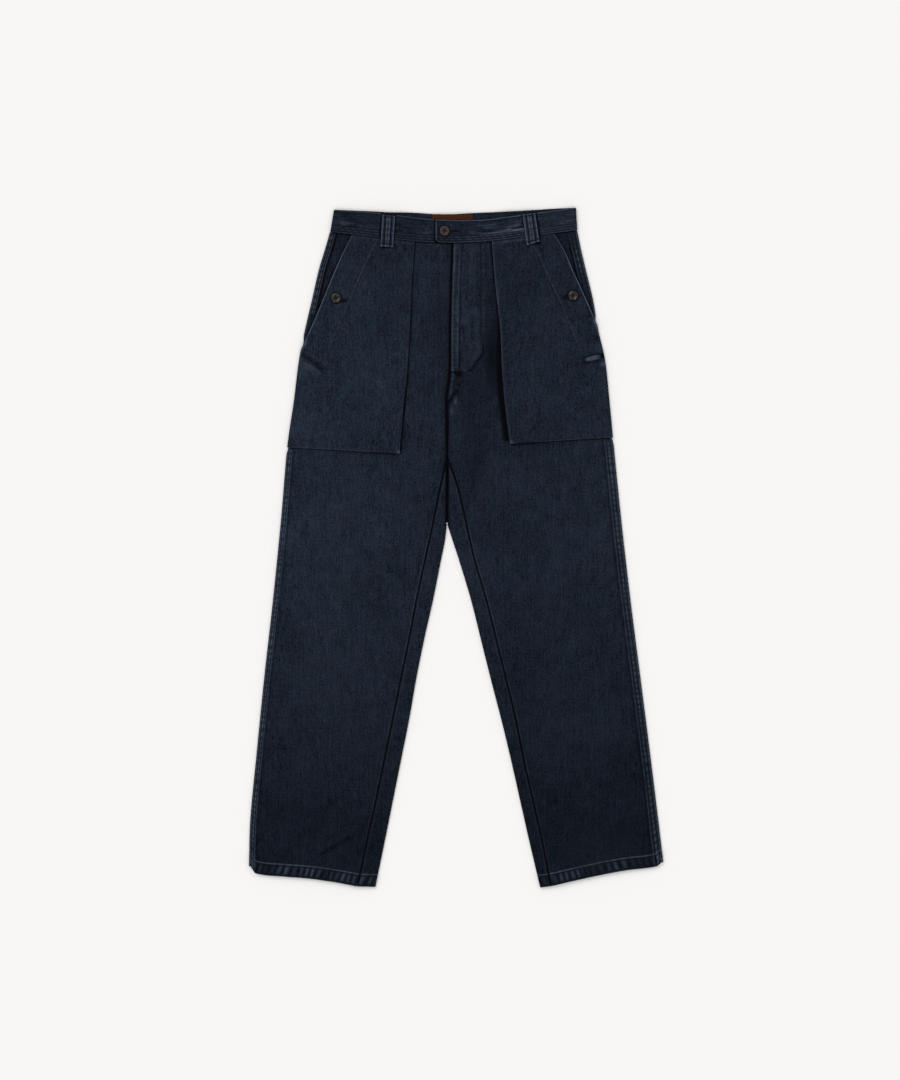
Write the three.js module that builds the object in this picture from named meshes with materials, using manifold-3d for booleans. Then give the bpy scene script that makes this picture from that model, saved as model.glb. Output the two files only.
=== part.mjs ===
// Work trousers lying flat on a table, front side up.
// Millimetres. +Z is up, +Y runs to the waist and +X to the wearer's left.
// The origin is on the table, under the middle of the garment.

import * as THREE from 'three';
import { mergeVertices } from 'three/addons/utils/BufferGeometryUtils.js';
import Module from 'manifold-3d';

// Cloth and seams
const CLOTH = 1.2;
const HALF = CLOTH / 2;
const GAP = 0.3;
const VALLEY_GAP = 0.8;
const FOLD_RADIUS = 1.1;
const EDGE_BACK = 3;
const HEM_TURN = 19;
const HEM_EXTRA = 0.8;
const HEM_STEP = 1.4;
const FELL_EXTRA = 0.6;
const FELL_STEP = 1.5;
const FELL_COVERED = 50;

// Heights of the layers, to the middle of each wall
const FRONT_REST = HALF + 2 * FOLD_RADIUS;
const CROWN = 1.1;
const CROWN_RAMP = 60;
const VALLEY_RAMP = 30;
const VALLEY_LEDGE = 1.5;
const RIDGE_CLIMB = 6.5;
const RIDGE_FALL = 35;
const LAYER = CLOTH + GAP;

// Waistband, tab and label
const BAND = 2.4;
const BAND_HEIGHT = 37;
const BAND_FOLD_RADIUS = 1.65;
const BAND_REST = BAND / 2 + 2 * BAND_FOLD_RADIUS;
const BAND_CROWN = 0.6;
const BAND_EDGE_THIN = 0.4;
const TAB_END = -32;
const TAB_ROUND = 6;
const UNDER_TAB_END = 20;
const LAP_START = 24;
const LAP_RAMP = 22;
const LAP_TUCK = 1.6;
const TUCK_RAMP = 25;
const WAIST_FOLLOW = 120;
const LABEL = { left: -39.2, right: 26.4, top: 532.3, height: 26, thick: 0.6 };

// Belt loops
const LOOP_THICK = 1.6;
const LOOP_WIDTH = 20.5;
const LOOP_BELOW_BAND = 11;
const LOOP_BOW = 1.2;
const LOOP_LIFT = LOOP_THICK + GAP;
const LOOP_PLATEAU = 6;
const LOOP_RAMP = 26;
const BACK_LOOPS = { left: 98, centre: -5, right: -108 };

// Fly
const FLY_FOOT = 232;
const FLY_CORNER = { x: 41, y: 283, radius: 28, ramp: 8 };
const UNDERLAP = 3;
const UNDERLAP_ABOVE = 22;
const SHIELD_INSET = 3;
const SHIELD_SLACK = 0.1;
const SHIELD_BELOW_CORNER = 2;
const SEAM_LAP = { height: 0.8, rampUp: 20, width: 12 };

// Pockets
const POCKET_TOP = { inner: 488, slant: 504 };
const POCKET_LAYER = 1.6;
const POCKET_CAUGHT = 4;
const POCKET_WRAP_INSET = 1.8;
const WRAP_RADIUS = FOLD_RADIUS + POCKET_WRAP_INSET;
const BULGE_REACH = 120;
const SLANT_LIFT = 0.8;
const BAR = { x: 220.6, y: 303.2, length: 33, height: 9, slope: 0.236, rise: 1.4, soft: 3 };

// Buttons
const BUTTON = { radius: 8, thick: 3, rim: 2.2, dish: 0.9, hole: 0.95, holeOffset: 1.75 };

// The legs part at SPLIT, and the inseams start at CROTCH, higher up on the front.
const SPLIT = 37.6;
const CROTCH = 148;
const CROTCH_RAMP = 300;
const STRIP_TIP = 3.5;
const HEM_FOLLOW = 150;
const INSEAM_SHARE = 0.93;
const LEFT_ENDS = { hem: -503.2, bandEnd: 193.2, bandEndTop: 191, slantEnd: 356, foot: 176 };
const RIGHT_ENDS = { hem: -509.6, bandEnd: 202, bandEndTop: 196, slantEnd: 322, foot: 160 };
const SIDES = {
  left: { name: 'left', sign: 1, fell: 11, ...LEFT_ENDS },
  right: { name: 'right', sign: -1, fell: 6, ...RIGHT_ENDS },
};

// Outer edge of each leg: distance from the middle line.
const OUTLINE = table(['y', 'left', 'right'], [
  [506, 193.2, 202],
  [476, 199.2, 210.4],
  [444, 206.7, 220],
  [396, 218.4, 231.2],
  [348, 226.7, 242.4],
  [300, 237.6, 252],
  [236, 244.5, 260],
  [164, 251.4, 270.4],
  [44, 263.5, 280.8],
  [-84, 278.2, 293.6],
  [-212, 294.6, 308],
  [-340, 310.9, 320.8],
  [-436, 322.7, 329.9],
  [-510, 331.5, 332],
]);

// Inner edge of each leg, from where the legs part: distance from the middle line.
const INNER = table(['y', 'left', 'right'], [
  [37.6, -14.8, 15.6],
  [12, -6.5, 18.4],
  [-20, 4, 24.8],
  [-84, 23.2, 37.6],
  [-148, 39.2, 52],
  [-212, 55.2, 64.8],
  [-276, 71.8, 76],
  [-340, 87.2, 88.8],
  [-404, 101.6, 101.6],
  [-468, 116, 114.4],
  [-543, 133.6, 129.8],
]);

// Inseam, between the front panel and the strip of the back panel that turns to the front.
const INSEAM = table(['y', 'left', 'right'], [
  [148, -15.2, 15.2],
  [103, 0.3, 24.6],
  [45, 14.5, 36.5],
  [-20, 29.5, 50.7],
  [-84, 48.2, 64.4],
  [-148, 64.2, 76.5],
  [-212, 80, 89.7],
  [-276, 95.2, 102.5],
  [-340, 107.9, 115.7],
  [-404, 122.5, 129],
  [-468, 137.1, 143.2],
  [-540, 151, 158],
]);

// Middle seams, across the garment: the back one, and the fly's edge with the crotch seam under it.
const MIDDLE = table(['y', 'back', 'front'], [
  [506, -5, -4.2],
  [420, -6.5, -7.2],
  [348, -8, -8.8],
  [290, -9.5, -9],
  [268, -10.5, -10.4],
  [249, -11, -13.4],
  [232, -12, -15.6],
  [200, -13, -15.2],
  [148, -14.4, -15.2],
  [37.6, -15.2, -15.2],
]);

// Edges of the waistband, across the garment.
const BAND_EDGES = table(['x', 'top', 'bottom', 'backTop'], [
  [-202, 540.2, 504.6, 540.4],
  [-142, 536, 497.6, 537.9],
  [-110, 532.8, 493.6, 536],
  [-66, 527.2, 489.4, 535.2],
  [-33, 524, 487.4, 533],
  [-3, 522.4, 486.4, 533],
  [38, 523.4, 488.6, 535.4],
  [70, 526.7, 491.5, 536.6],
  [119, 533.4, 497.6, 539.2],
  [150, 537.6, 501.5, 541.4],
  [193, 543.5, 507.2, 543.5],
]);

// Lower edge of each leg: how far it hangs under its outer corner, by share of the way inward.
const HEM_DROP = table(['share', 'left', 'right'], [
  [0, 0, 0],
  [0.04, 6.4, 11],
  [0.3, 12.8, 16.5],
  [0.5, 19.8, 19.4],
  [0.75, 30, 25.8],
  [0.93, 38, 32],
  [1, 40, 32.8],
]);

// Puffed cloth beside the valley between the thighs.
const THIGH_RIDGE = table(['y', 'height'], [
  [232, 0],
  [190, 1.2],
  [120, 2.3],
  [37, 2.5],
  [-20, 1.2],
  [-80, 0],
]);

// Inner edge and slanted opening of each pocket: distance from the middle line.
const POCKET_INNER = table(['y', 'left', 'right'], [
  [488, 56.8, 67.2],
  [420, 62.4, 71.8],
  [348, 70.2, 75],
  [294, 72.5, 78.2],
  [260, 75, 80.8],
  [222, 78.6, 85.2],
  [150, 88.2, 91.2],
]);
const SLANT = table(['y', 'left', 'right'], [
  [504, 156.2, 164.4],
  [470, 175.7, 181.5],
  [440, 189, 195.4],
  [413, 201.5, 207.5],
  [384, 214.6, 220],
  [356, 226.4, 232.4],
  [322, 240, 247.4],
]);
const POCKET_FOOT = { left: 166, right: 150.4 };

// How far each pocket's inner edge stands off the front.
const BULGE = table(['y', 'left', 'right'], [
  [488, 0.4, 0.4],
  [420, 1, 0.9],
  [348, 1.9, 1.4],
  [281, 2.8, 1.9],
  [222, 3.4, 2.4],
  [150, 3.2, 2.6],
]);

// Largest creases: a soft trough (negative) or ridge from one end to the other.
const CREASES = table(['x0', 'y0', 'x1', 'y1', 'width', 'height'], [
  [-33, 418, -33, 322, 26, -0.5],
  [-50, 266, -12, 277, 14, 0.8],
  [-226, -494, -166, -459, 22, 1.3],
  [250, -300, 214, -330, 40, 0.6],
  [-214, -122, -176, -150, 44, 0.6],
  [62, 120, 118, 132, 24, 0.7],
]);
const POCKET_CREASES = table(['x0', 'y0', 'x1', 'y1', 'width', 'height'], [
  [116, 400, 114, 190, 30, -0.8],
  [-249, 308, -210, 271, 22, 0.9],
  [-128, 470, -200, 320, 16, 0.5],
]);

// Belt loops in front: their upper and lower ends.
const FRONT_LOOPS = table(['name', 'topX', 'topY', 'topSlope', 'footX', 'footY', 'footSlope'], [
  ['left', 115.5, 532.6, 0.1, 122.2, 485.7, 0.3],
  ['right', -108.1, 530.3, -0.12, -111.3, 480.2, -0.08],
]);

const BUTTONS = table(['name', 'x', 'y', 'turn'], [
  ['button_waist', -19, 507, 0.5],
  ['button_pocket_left', 186.4, 402.4, 0.2],
  ['button_pocket_right', -192.3, 398.7, -0.4],
]);

const NAVY = finish(0x1b2430, 0.93);
const NAVY_EDGE = finish(0x222d3b, 0.93);
const LABEL_BROWN = finish(0x5a3a1c, 0.85);
const HORN = finish(0x2a1d14, 0.25);

function finish(color, roughness) {
  return new THREE.MeshStandardMaterial({ color, roughness, metalness: 0 });
}

function table(columns, rows) {
  return rows.map((row) => Object.fromEntries(columns.map((column, i) => [column, row[i]])));
}

const mix = (a, b, t) => a + (b - a) * t;

// Rises smoothly from 0 to 1 as t does.
function ease(t) {
  const share = Math.min(Math.max(t, 0), 1);
  return share * share * (3 - 2 * share);
}

// A smooth curve through a table's rows, straight beyond both ends.
function curve(rows, key, column) {
  const knots = rows.map((row) => [row[key], row[column]]).sort((a, b) => a[0] - b[0]);
  const last = knots.length - 1;
  const slopes = knots.map((_, i) => {
    const [before, after] = [knots[Math.max(i - 1, 0)], knots[Math.min(i + 1, last)]];
    return (after[1] - before[1]) / (after[0] - before[0]);
  });
  return (at) => {
    if (at <= knots[0][0]) return knots[0][1] + slopes[0] * (at - knots[0][0]);
    if (at >= knots[last][0]) return knots[last][1] + slopes[last] * (at - knots[last][0]);
    const i = knots.findIndex((knot) => knot[0] > at) - 1;
    const width = knots[i + 1][0] - knots[i][0];
    const t = (at - knots[i][0]) / width;
    const [start, end] = [knots[i][1], knots[i + 1][1]];
    const bend = (1 - t) * slopes[i] - t * slopes[i + 1];
    return mix(start, end, ease(t)) + t * (1 - t) * bend * width;
  };
}

// The same, for a table with a column for each leg.
function pair(rows, key) {
  return { left: curve(rows, key, 'left'), right: curve(rows, key, 'right') };
}

const outline = pair(OUTLINE, 'y');
const inner = pair(INNER, 'y');
const inseam = pair(INSEAM, 'y');
const hemDrop = pair(HEM_DROP, 'share');
const pocketInner = pair(POCKET_INNER, 'y');
const slant = pair(SLANT, 'y');
const bulgeAtEdge = pair(BULGE, 'y');
const middleBack = curve(MIDDLE, 'y', 'back');
const middleFront = curve(MIDDLE, 'y', 'front');
const bandTop = curve(BAND_EDGES, 'x', 'top');
const bandBottom = curve(BAND_EDGES, 'x', 'bottom');
const bandBackTop = curve(BAND_EDGES, 'x', 'backTop');
const thighRidge = curve(THIGH_RIDGE, 'y', 'height');

// The back half of the waistband is as tall as the front half where they meet at the side.
function bandBackBottom(side, x) {
  const end = side.sign * side.bandEnd;
  return bandBottom(end) + bandBackTop(x) - bandBackTop(end);
}

// Height of a crease at a point: full along its line, soft across it and at its ends.
function creaseHeight(creases, x, y) {
  return creases.reduce((sum, crease) => {
    const [dx, dy] = [crease.x1 - crease.x0, crease.y1 - crease.y0];
    const length = Math.hypot(dx, dy);
    const along = ((x - crease.x0) * dx + (y - crease.y0) * dy) / (length * length);
    const across = Math.abs((x - crease.x0) * dy - (y - crease.y0) * dx) / length;
    const ends = ease(1.15 - Math.abs(2 * along - 1) * 1.15);
    return sum + crease.height * ends * (1 - ease((2 * across) / crease.width));
  }, 0);
}

// What lies over a back belt loop is lifted by it.
function loopLift(x, y) {
  const lifts = Object.values(BACK_LOOPS).map((loopX) => {
    const beside = Math.abs(x - loopX) - LOOP_WIDTH / 2 - LOOP_PLATEAU;
    const below = bandBackTop(x) - BAND_HEIGHT - LOOP_BELOW_BAND - LOOP_PLATEAU - y;
    return 1 - ease(Math.hypot(Math.max(beside, 0), Math.max(below, 0)) / LOOP_RAMP);
  });
  return LOOP_LIFT * Math.max(...lifts);
}

// The edge that the leg turns over on its inner side; above the split it is the middle seam.
function innerLine(side, y) {
  return y > SPLIT ? side.sign * middleBack(y) : inner[side.name](y);
}

// Middle of the front cloth above the table.
function frontHeight(side, w, y) {
  const x = side.sign * w;
  const fromInner = Math.abs(w - innerLine(side, y));
  const valley = ease((FLY_FOOT - y) / (FLY_FOOT - SPLIT));
  const crown = CROWN * ease((outline[side.name](y) - w) / CROWN_RAMP);
  const ridge = y < FLY_FOOT && y > THIGH_RIDGE.at(-1).y ? Math.max(thighRidge(y), 0) : 0;
  const climb = Math.max(fromInner - VALLEY_LEDGE, 0);
  const puff = ridge * ease(climb / RIDGE_CLIMB) * (1 - ease((climb - RIDGE_CLIMB) / RIDGE_FALL));
  const rise = crown * mix(1, ease(climb / VALLEY_RAMP), valley);
  return FRONT_REST + rise + puff + creaseHeight(CREASES, x, y) + loopLift(x, y);
}

// How far a point lies outside the shape that the fly's curved stitching encloses.
function outsideFly(x, y) {
  const { radius } = FLY_CORNER;
  const dx = x - FLY_CORNER.x + radius;
  const dy = FLY_CORNER.y + radius - y;
  const corner = Math.hypot(Math.max(dx, 0), Math.max(dy, 0));
  return corner + Math.min(Math.max(dx, dy), 0) - radius;
}

// Share of the waistband's lap at x: 1 under the tab, 0 past it.
const lapShare = (x) => 1 - ease((x - LAP_START) / LAP_RAMP);

// The wearer's left front laps over the fly shield, and rises to the waistband's tab.
function flyLift(x, y) {
  const fly = LAYER * (1 - ease(outsideFly(x, y) / FLY_CORNER.ramp));
  const tuck = LAP_TUCK * lapShare(x) * (1 - ease((bandBottom(x) - y) / TUCK_RAMP));
  const rise = ease((y - FLY_FOOT) / SEAM_LAP.rampUp);
  const seam = SEAM_LAP.height * rise * (1 - ease((x - middleFront(y)) / SEAM_LAP.width));
  return Math.max(fly, seam) + tuck;
}

// Middle of the waistband's front half above the table.
function bandHeight(side, w, y) {
  const crown = BAND_CROWN * ease((side.bandEnd - w) / CROWN_RAMP);
  const lap = side.name === 'left' ? (BAND + GAP) * lapShare(w) : 0;
  return BAND_REST + crown + lap + loopLift(side.sign * w, y);
}

// Middle of the pocket cloth above the table, without its rolled edges.
function pocketHeight(side, w, y) {
  const x = side.sign * w;
  const bar = side.name === 'left' ? barHeight(x, y) : 0;
  const front = heightOn(fronts[side.name], x, y) ?? frontHeight(side, w, y);
  return front + POCKET_LAYER + creaseHeight(POCKET_CREASES, x, y) + bar;
}

// The puffed bar between two tacks at the foot of the slanted opening.
function barHeight(x, y) {
  const along = Math.abs(x - BAR.x) - BAR.length / 2;
  const across = Math.abs(y - BAR.y - BAR.slope * (x - BAR.x)) - BAR.height / 2;
  return BAR.rise * (1 - ease(along / BAR.soft)) * (1 - ease(across / BAR.soft));
}

function bulge(side, w, y) {
  const reach = 1 - ease((w - pocketInner[side.name](y)) / BULGE_REACH);
  return bulgeAtEdge[side.name](y) * reach;
}

// Height of a grid of points at x, y, on the triangle there, or undefined beside the grid.
function heightOn(rows, x, y) {
  for (let r = 0; r + 1 < rows.length; r += 1) {
    for (let c = 0; c + 1 < rows[r].length; c += 1) {
      const [a, b, d, e] = [rows[r][c], rows[r][c + 1], rows[r + 1][c + 1], rows[r + 1][c]];
      const z = heightInTriangle(a, b, d, x, y) ?? heightInTriangle(a, d, e, x, y);
      if (z !== undefined) return z;
    }
  }
  return undefined;
}

function heightInTriangle(a, b, c, x, y) {
  const area = (b[0] - a[0]) * (c[1] - a[1]) - (c[0] - a[0]) * (b[1] - a[1]);
  const shareB = ((x - a[0]) * (c[1] - a[1]) - (c[0] - a[0]) * (y - a[1])) / area;
  const shareC = ((b[0] - a[0]) * (y - a[1]) - (x - a[0]) * (b[1] - a[1])) / area;
  const inside = shareB >= 0 && shareC >= 0 && shareB + shareC <= 1;
  return inside ? a[2] + shareB * (b[2] - a[2]) + shareC * (c[2] - a[2]) : undefined;
}

// A sheet of cloth: rows of points in the middle of its wall, each with what the wall gains outside.
class Sheet {
  constructor() {
    this.points = [];
    this.extras = [];
    this.quads = [];
    this.numbers = new Map();
  }

  number([x, y, z, extra = 0]) {
    const key = [x, y, z].map((value) => value.toFixed(4)).join();
    if (!this.numbers.has(key)) {
      this.numbers.set(key, this.points.length);
      this.points.push(new THREE.Vector3(x, y, z));
      this.extras.push(extra);
    }
    return this.numbers.get(key);
  }

  // Grids that share points are sewn along them. All have their rows and columns in the same sense.
  add(rows) {
    const ids = rows.map((row) => row.map((point) => this.number(point)));
    for (let r = 0; r + 1 < ids.length; r += 1) {
      for (let c = 0; c + 1 < ids[r].length; c += 1) {
        this.quads.push([ids[r][c], ids[r][c + 1], ids[r + 1][c + 1], ids[r + 1][c]]);
      }
    }
    return this;
  }

  normals() {
    const sums = this.points.map(() => new THREE.Vector3());
    for (const quad of this.quads) {
      const [a, b, c, d] = quad.map((id) => this.points[id]);
      const across = new THREE.Vector3().subVectors(c, a);
      const normal = across.cross(new THREE.Vector3().subVectors(d, b)).normalize();
      quad.forEach((id) => sums[id].add(normal));
    }
    return sums.map((sum) => sum.normalize());
  }

  // The wall: an outer and an inner skin, closed round every open edge. The first quad faces up.
  thicken(thickness) {
    if (this.normals()[this.quads[0][0]].z < 0) this.quads.forEach((quad) => quad.reverse());
    const normals = this.normals();
    const count = this.points.length;
    const skin = (offset) => {
      return this.points.map((point, i) => point.clone().addScaledVector(normals[i], offset(i)));
    };
    const vertices = [
      ...skin((i) => thickness / 2 + this.extras[i]),
      ...skin(() => -thickness / 2),
    ];
    const faces = [];
    const edges = new Set();
    for (const [a, b, c, d] of this.quads) {
      faces.push([a, b, c], [a, c, d]);
      faces.push([a + count, c + count, b + count], [a + count, d + count, c + count]);
      [[a, b], [b, c], [c, d], [d, a]].forEach((edge) => edges.add(edge.join()));
    }
    for (const edge of edges) {
      const [a, b] = edge.split(',').map(Number);
      if (!edges.has([b, a].join())) {
        faces.push([b, a, a + count], [b, a + count, b + count]);
      }
    }
    const geometry = new THREE.BufferGeometry().setFromPoints(vertices);
    geometry.setIndex(faces.flat());
    return geometry;
  }
}

// Numbers from a to b in steps of about size, without b.
function steps(a, b, size) {
  const count = Math.max(1, Math.round(Math.abs(b - a) / size));
  return Array.from({ length: count }, (_, i) => mix(a, b, i / count));
}

const halfPi = Math.PI / 2;

// Heights on the outer edge of a leg at which its rows of points start, from the waist to the hem.
function legRows(side) {
  const top = bandBottom(side.sign * side.bandEnd) - GAP;
  const marks = [side.slantEnd + 18, side.slantEnd + 6, side.foot - 1, side.foot - 11];
  const even = [
    top,
    top - 18,
    ...steps(top - 42, SPLIT, 30),
    ...steps(SPLIT, side.hem + HEM_TURN + HEM_STEP, 34),
  ];
  const kept = even.filter((y) => y === SPLIT || y === top || marks.every((mark) => Math.abs(mark - y) > 9));
  const hemRows = [HEM_TURN + HEM_STEP, HEM_TURN, HEM_TURN / 2, 0].map((height) => side.hem + height);
  return [...kept, ...marks, ...hemRows].sort((a, b) => b - a);
}

// The side seam's fell shows on the hip and below the pocket, which covers the rest.
function fellShows(side, v) {
  return v > side.slantEnd + FELL_COVERED || v < side.foot - 5;
}

// What a wall gains outside at row v: the hem's turned ply.
function hemExtra(side, v) {
  return v <= side.hem + HEM_TURN ? HEM_EXTRA : 0;
}

// How far a row near the hem leans with the hem's own line.
function hemLean(side, v, share) {
  const near = 1 - ease((v - side.hem - HEM_TURN - HEM_STEP) / HEM_FOLLOW);
  return -near * hemDrop[side.name](share);
}

// Rows near the waist follow the waistband's edge.
function waistFollow(side, v, x, edge) {
  const end = side.sign * side.bandEnd;
  const top = bandBottom(end) - GAP;
  return (edge(x) - edge(end)) * (1 - ease((top - v) / WAIST_FOLLOW));
}

// Where a pocket is caught in the side seam it wraps the fold, which lies that much further in.
function foldOutline(side, y) {
  const caught = ease((side.slantEnd + 18 - y) / 12) * ease((y - side.foot + 11) / 10);
  return outline[side.name](y) - POCKET_WRAP_INSET * caught;
}

// Height on the inseam of the row that starts at v on the outer edge.
function seamRow(side, v) {
  const raised = v > SPLIT ? 0 : (CROTCH - SPLIT) * (1 - ease((SPLIT - v) / CROTCH_RAMP));
  return v + raised + hemLean(side, v, INSEAM_SHARE);
}

// The back panel: lip on the front, outer fold, under sheet, inner fold and the strip up to the inseam.
function backPanel(side) {
  const foldAngles = [halfPi, halfPi / 2, 0, -halfPi / 2, -halfPi];
  const underShares = [0.05, 0.2, 0.39, 0.55, 0.71, 0.87, 1];
  const stripShares = [0.3, 0.65, 1];
  const sheet = new Sheet();
  const outer = [];
  const strip = [];
  for (const v of legRows(side)) {
    const extra = hemExtra(side, v);
    const radius = FOLD_RADIUS;
    const outside = foldOutline(side, v) - HALF - extra - radius;
    const middle = HALF + extra + radius;
    const insideY = v + hemLean(side, v, 1);
    const inside = v > SPLIT
      ? side.sign * middleBack(v) + GAP / 2
      : inner[side.name](insideY) + HALF + extra + radius;
    const lift = v > SPLIT ? loopLift(side.sign * outside, v) : 0;
    const folded = (w, angle) => {
      const x = side.sign * w;
      const y = v + waistFollow(side, v, x, angle < 0 ? bandBackTop : bandBottom);
      return [x, y, middle + radius * Math.sin(angle) + lift, extra];
    };
    const lip = folded(foldOutline(side, v) - EDGE_BACK, halfPi);
    const row = [lip, ...foldAngles.map((angle) => folded(outside + radius * Math.cos(angle), angle))];
    for (const share of underShares) {
      const w = mix(outside, inside, share);
      const x = side.sign * w;
      const follow = waistFollow(side, v, x, bandBackTop);
      const y = v + hemLean(side, v, share) + follow;
      row.push([x, y, HALF + extra + loopLift(x, y), extra]);
    }
    outer.push(row);
    if (v > SPLIT) continue;
    const turn = [row.at(-1)];
    for (const angle of foldAngles.slice(0, 4).reverse()) {
      const w = inside - radius * Math.cos(angle);
      turn.push([side.sign * w, insideY, middle + radius * Math.sin(angle), extra]);
    }
    const seamY = Math.min(seamRow(side, v), CROTCH - STRIP_TIP);
    const seam = inseam[side.name](seamY) - GAP / 2;
    for (const share of stripShares) {
      const w = mix(inside, seam, share);
      const y = mix(insideY, seamY, share);
      turn.push([side.sign * w, y, frontHeight(side, w, y) + extra, extra]);
    }
    strip.push(turn);
  }
  return sheet.add(outer).add(strip).thicken(CLOTH);
}

// Inner edge of a front panel at height y: the fly's edge, the crotch seam, then the inseam.
function frontEdge(side, y) {
  if (y <= CROTCH) return inseam[side.name](y) + GAP / 2;
  const gap = mix(GAP, VALLEY_GAP, ease((FLY_FOOT - y) / 30) * ease((y - CROTCH) / 20));
  const seam = side.sign * middleFront(y) + gap / 2;
  const under = side.name === 'right' ? ease((y - FLY_CORNER.y - UNDERLAP_ABOVE) / 12) : 0;
  return seam - under * (UNDERLAP + GAP / 2);
}

// Rows of points of a front panel, from the side seam to its inner edge.
function frontRows(side) {
  const fromOuter = [0, side.fell, side.fell + FELL_STEP, 26, 42];
  const between = [0.25, 0.5, 0.75];
  const fromInner = [55, 45, 20, 8, VALLEY_LEDGE, 0];
  const top = bandBottom(side.sign * side.bandEnd) - GAP;
  return legRows(side).map((v) => {
    const hem = hemExtra(side, v);
    const seamLift = (CROTCH - SPLIT) * ease((top - v) / (top - SPLIT));
    const outerW = foldOutline(side, v) - EDGE_BACK - GAP;
    const waistY = v + waistFollow(side, v, side.sign * frontEdge(side, v), bandBottom);
    const innerY = v > SPLIT ? waistY + seamLift : seamRow(side, v);
    const innerW = frontEdge(side, innerY);
    const places = [
      ...fromOuter.map((distance) => outerW - distance),
      ...between.map((share) => mix(outerW - fromOuter.at(-1), innerW + fromInner[0], share)),
      ...fromInner.map((distance) => innerW + distance),
    ];
    return places.map((w, i) => {
      const share = (outerW - w) / (outerW - innerW);
      const x = side.sign * w;
      const raised = v > SPLIT
        ? seamLift * share * share + waistFollow(side, v, x, bandBottom)
        : (seamRow(side, v) - hemLean(side, v, INSEAM_SHARE) - v) * share * share;
      const y = v + raised + hemLean(side, v, share * INSEAM_SHARE);
      const extra = Math.max(hem, i < 2 && fellShows(side, v) ? FELL_EXTRA : 0);
      const lap = side.name === 'left' && v > SPLIT ? flyLift(x, y) : 0;
      return [x, y, frontHeight(side, w, y) + hem + lap, extra];
    });
  });
}

const fronts = { left: frontRows(SIDES.left), right: frontRows(SIDES.right) };

// The button stand, in the plane of the right front, under the left front's fly.
function flyShield() {
  const { x: edge, y: foot, radius } = FLY_CORNER;
  const bottom = foot + SHIELD_BELOW_CORNER;
  const corner = radius - SHIELD_INSET;
  const top = bandBottom(edge / 2) - GAP;
  const roundRows = [1, 0.62, 0.3, 0.1, 0].map((share) => bottom + corner * share);
  const heights = [...steps(top, bottom + corner, 24), ...roundRows];
  const rows = heights.map((y) => {
    const start = middleFront(y) + UNDERLAP + GAP;
    const rise = Math.max(bottom + corner - y, 0);
    const end = edge - SHIELD_INSET - corner + Math.sqrt(corner * corner - rise * rise);
    return [0, 0.5, 1].map((share) => {
      const x = mix(start, end, share);
      const follow = (bandBottom(x) - bandBottom(edge / 2)) * (1 - ease((top - y) / 60));
      const cover = heightOn(fronts.left, x, y + follow) ?? frontHeight(SIDES.left, x, y) + LAYER;
      return [x, y + follow, Math.min(cover - LAYER, frontHeight(SIDES.left, x, y)) - SHIELD_SLACK];
    });
  });
  return new Sheet().add(rows).thicken(CLOTH);
}

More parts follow.
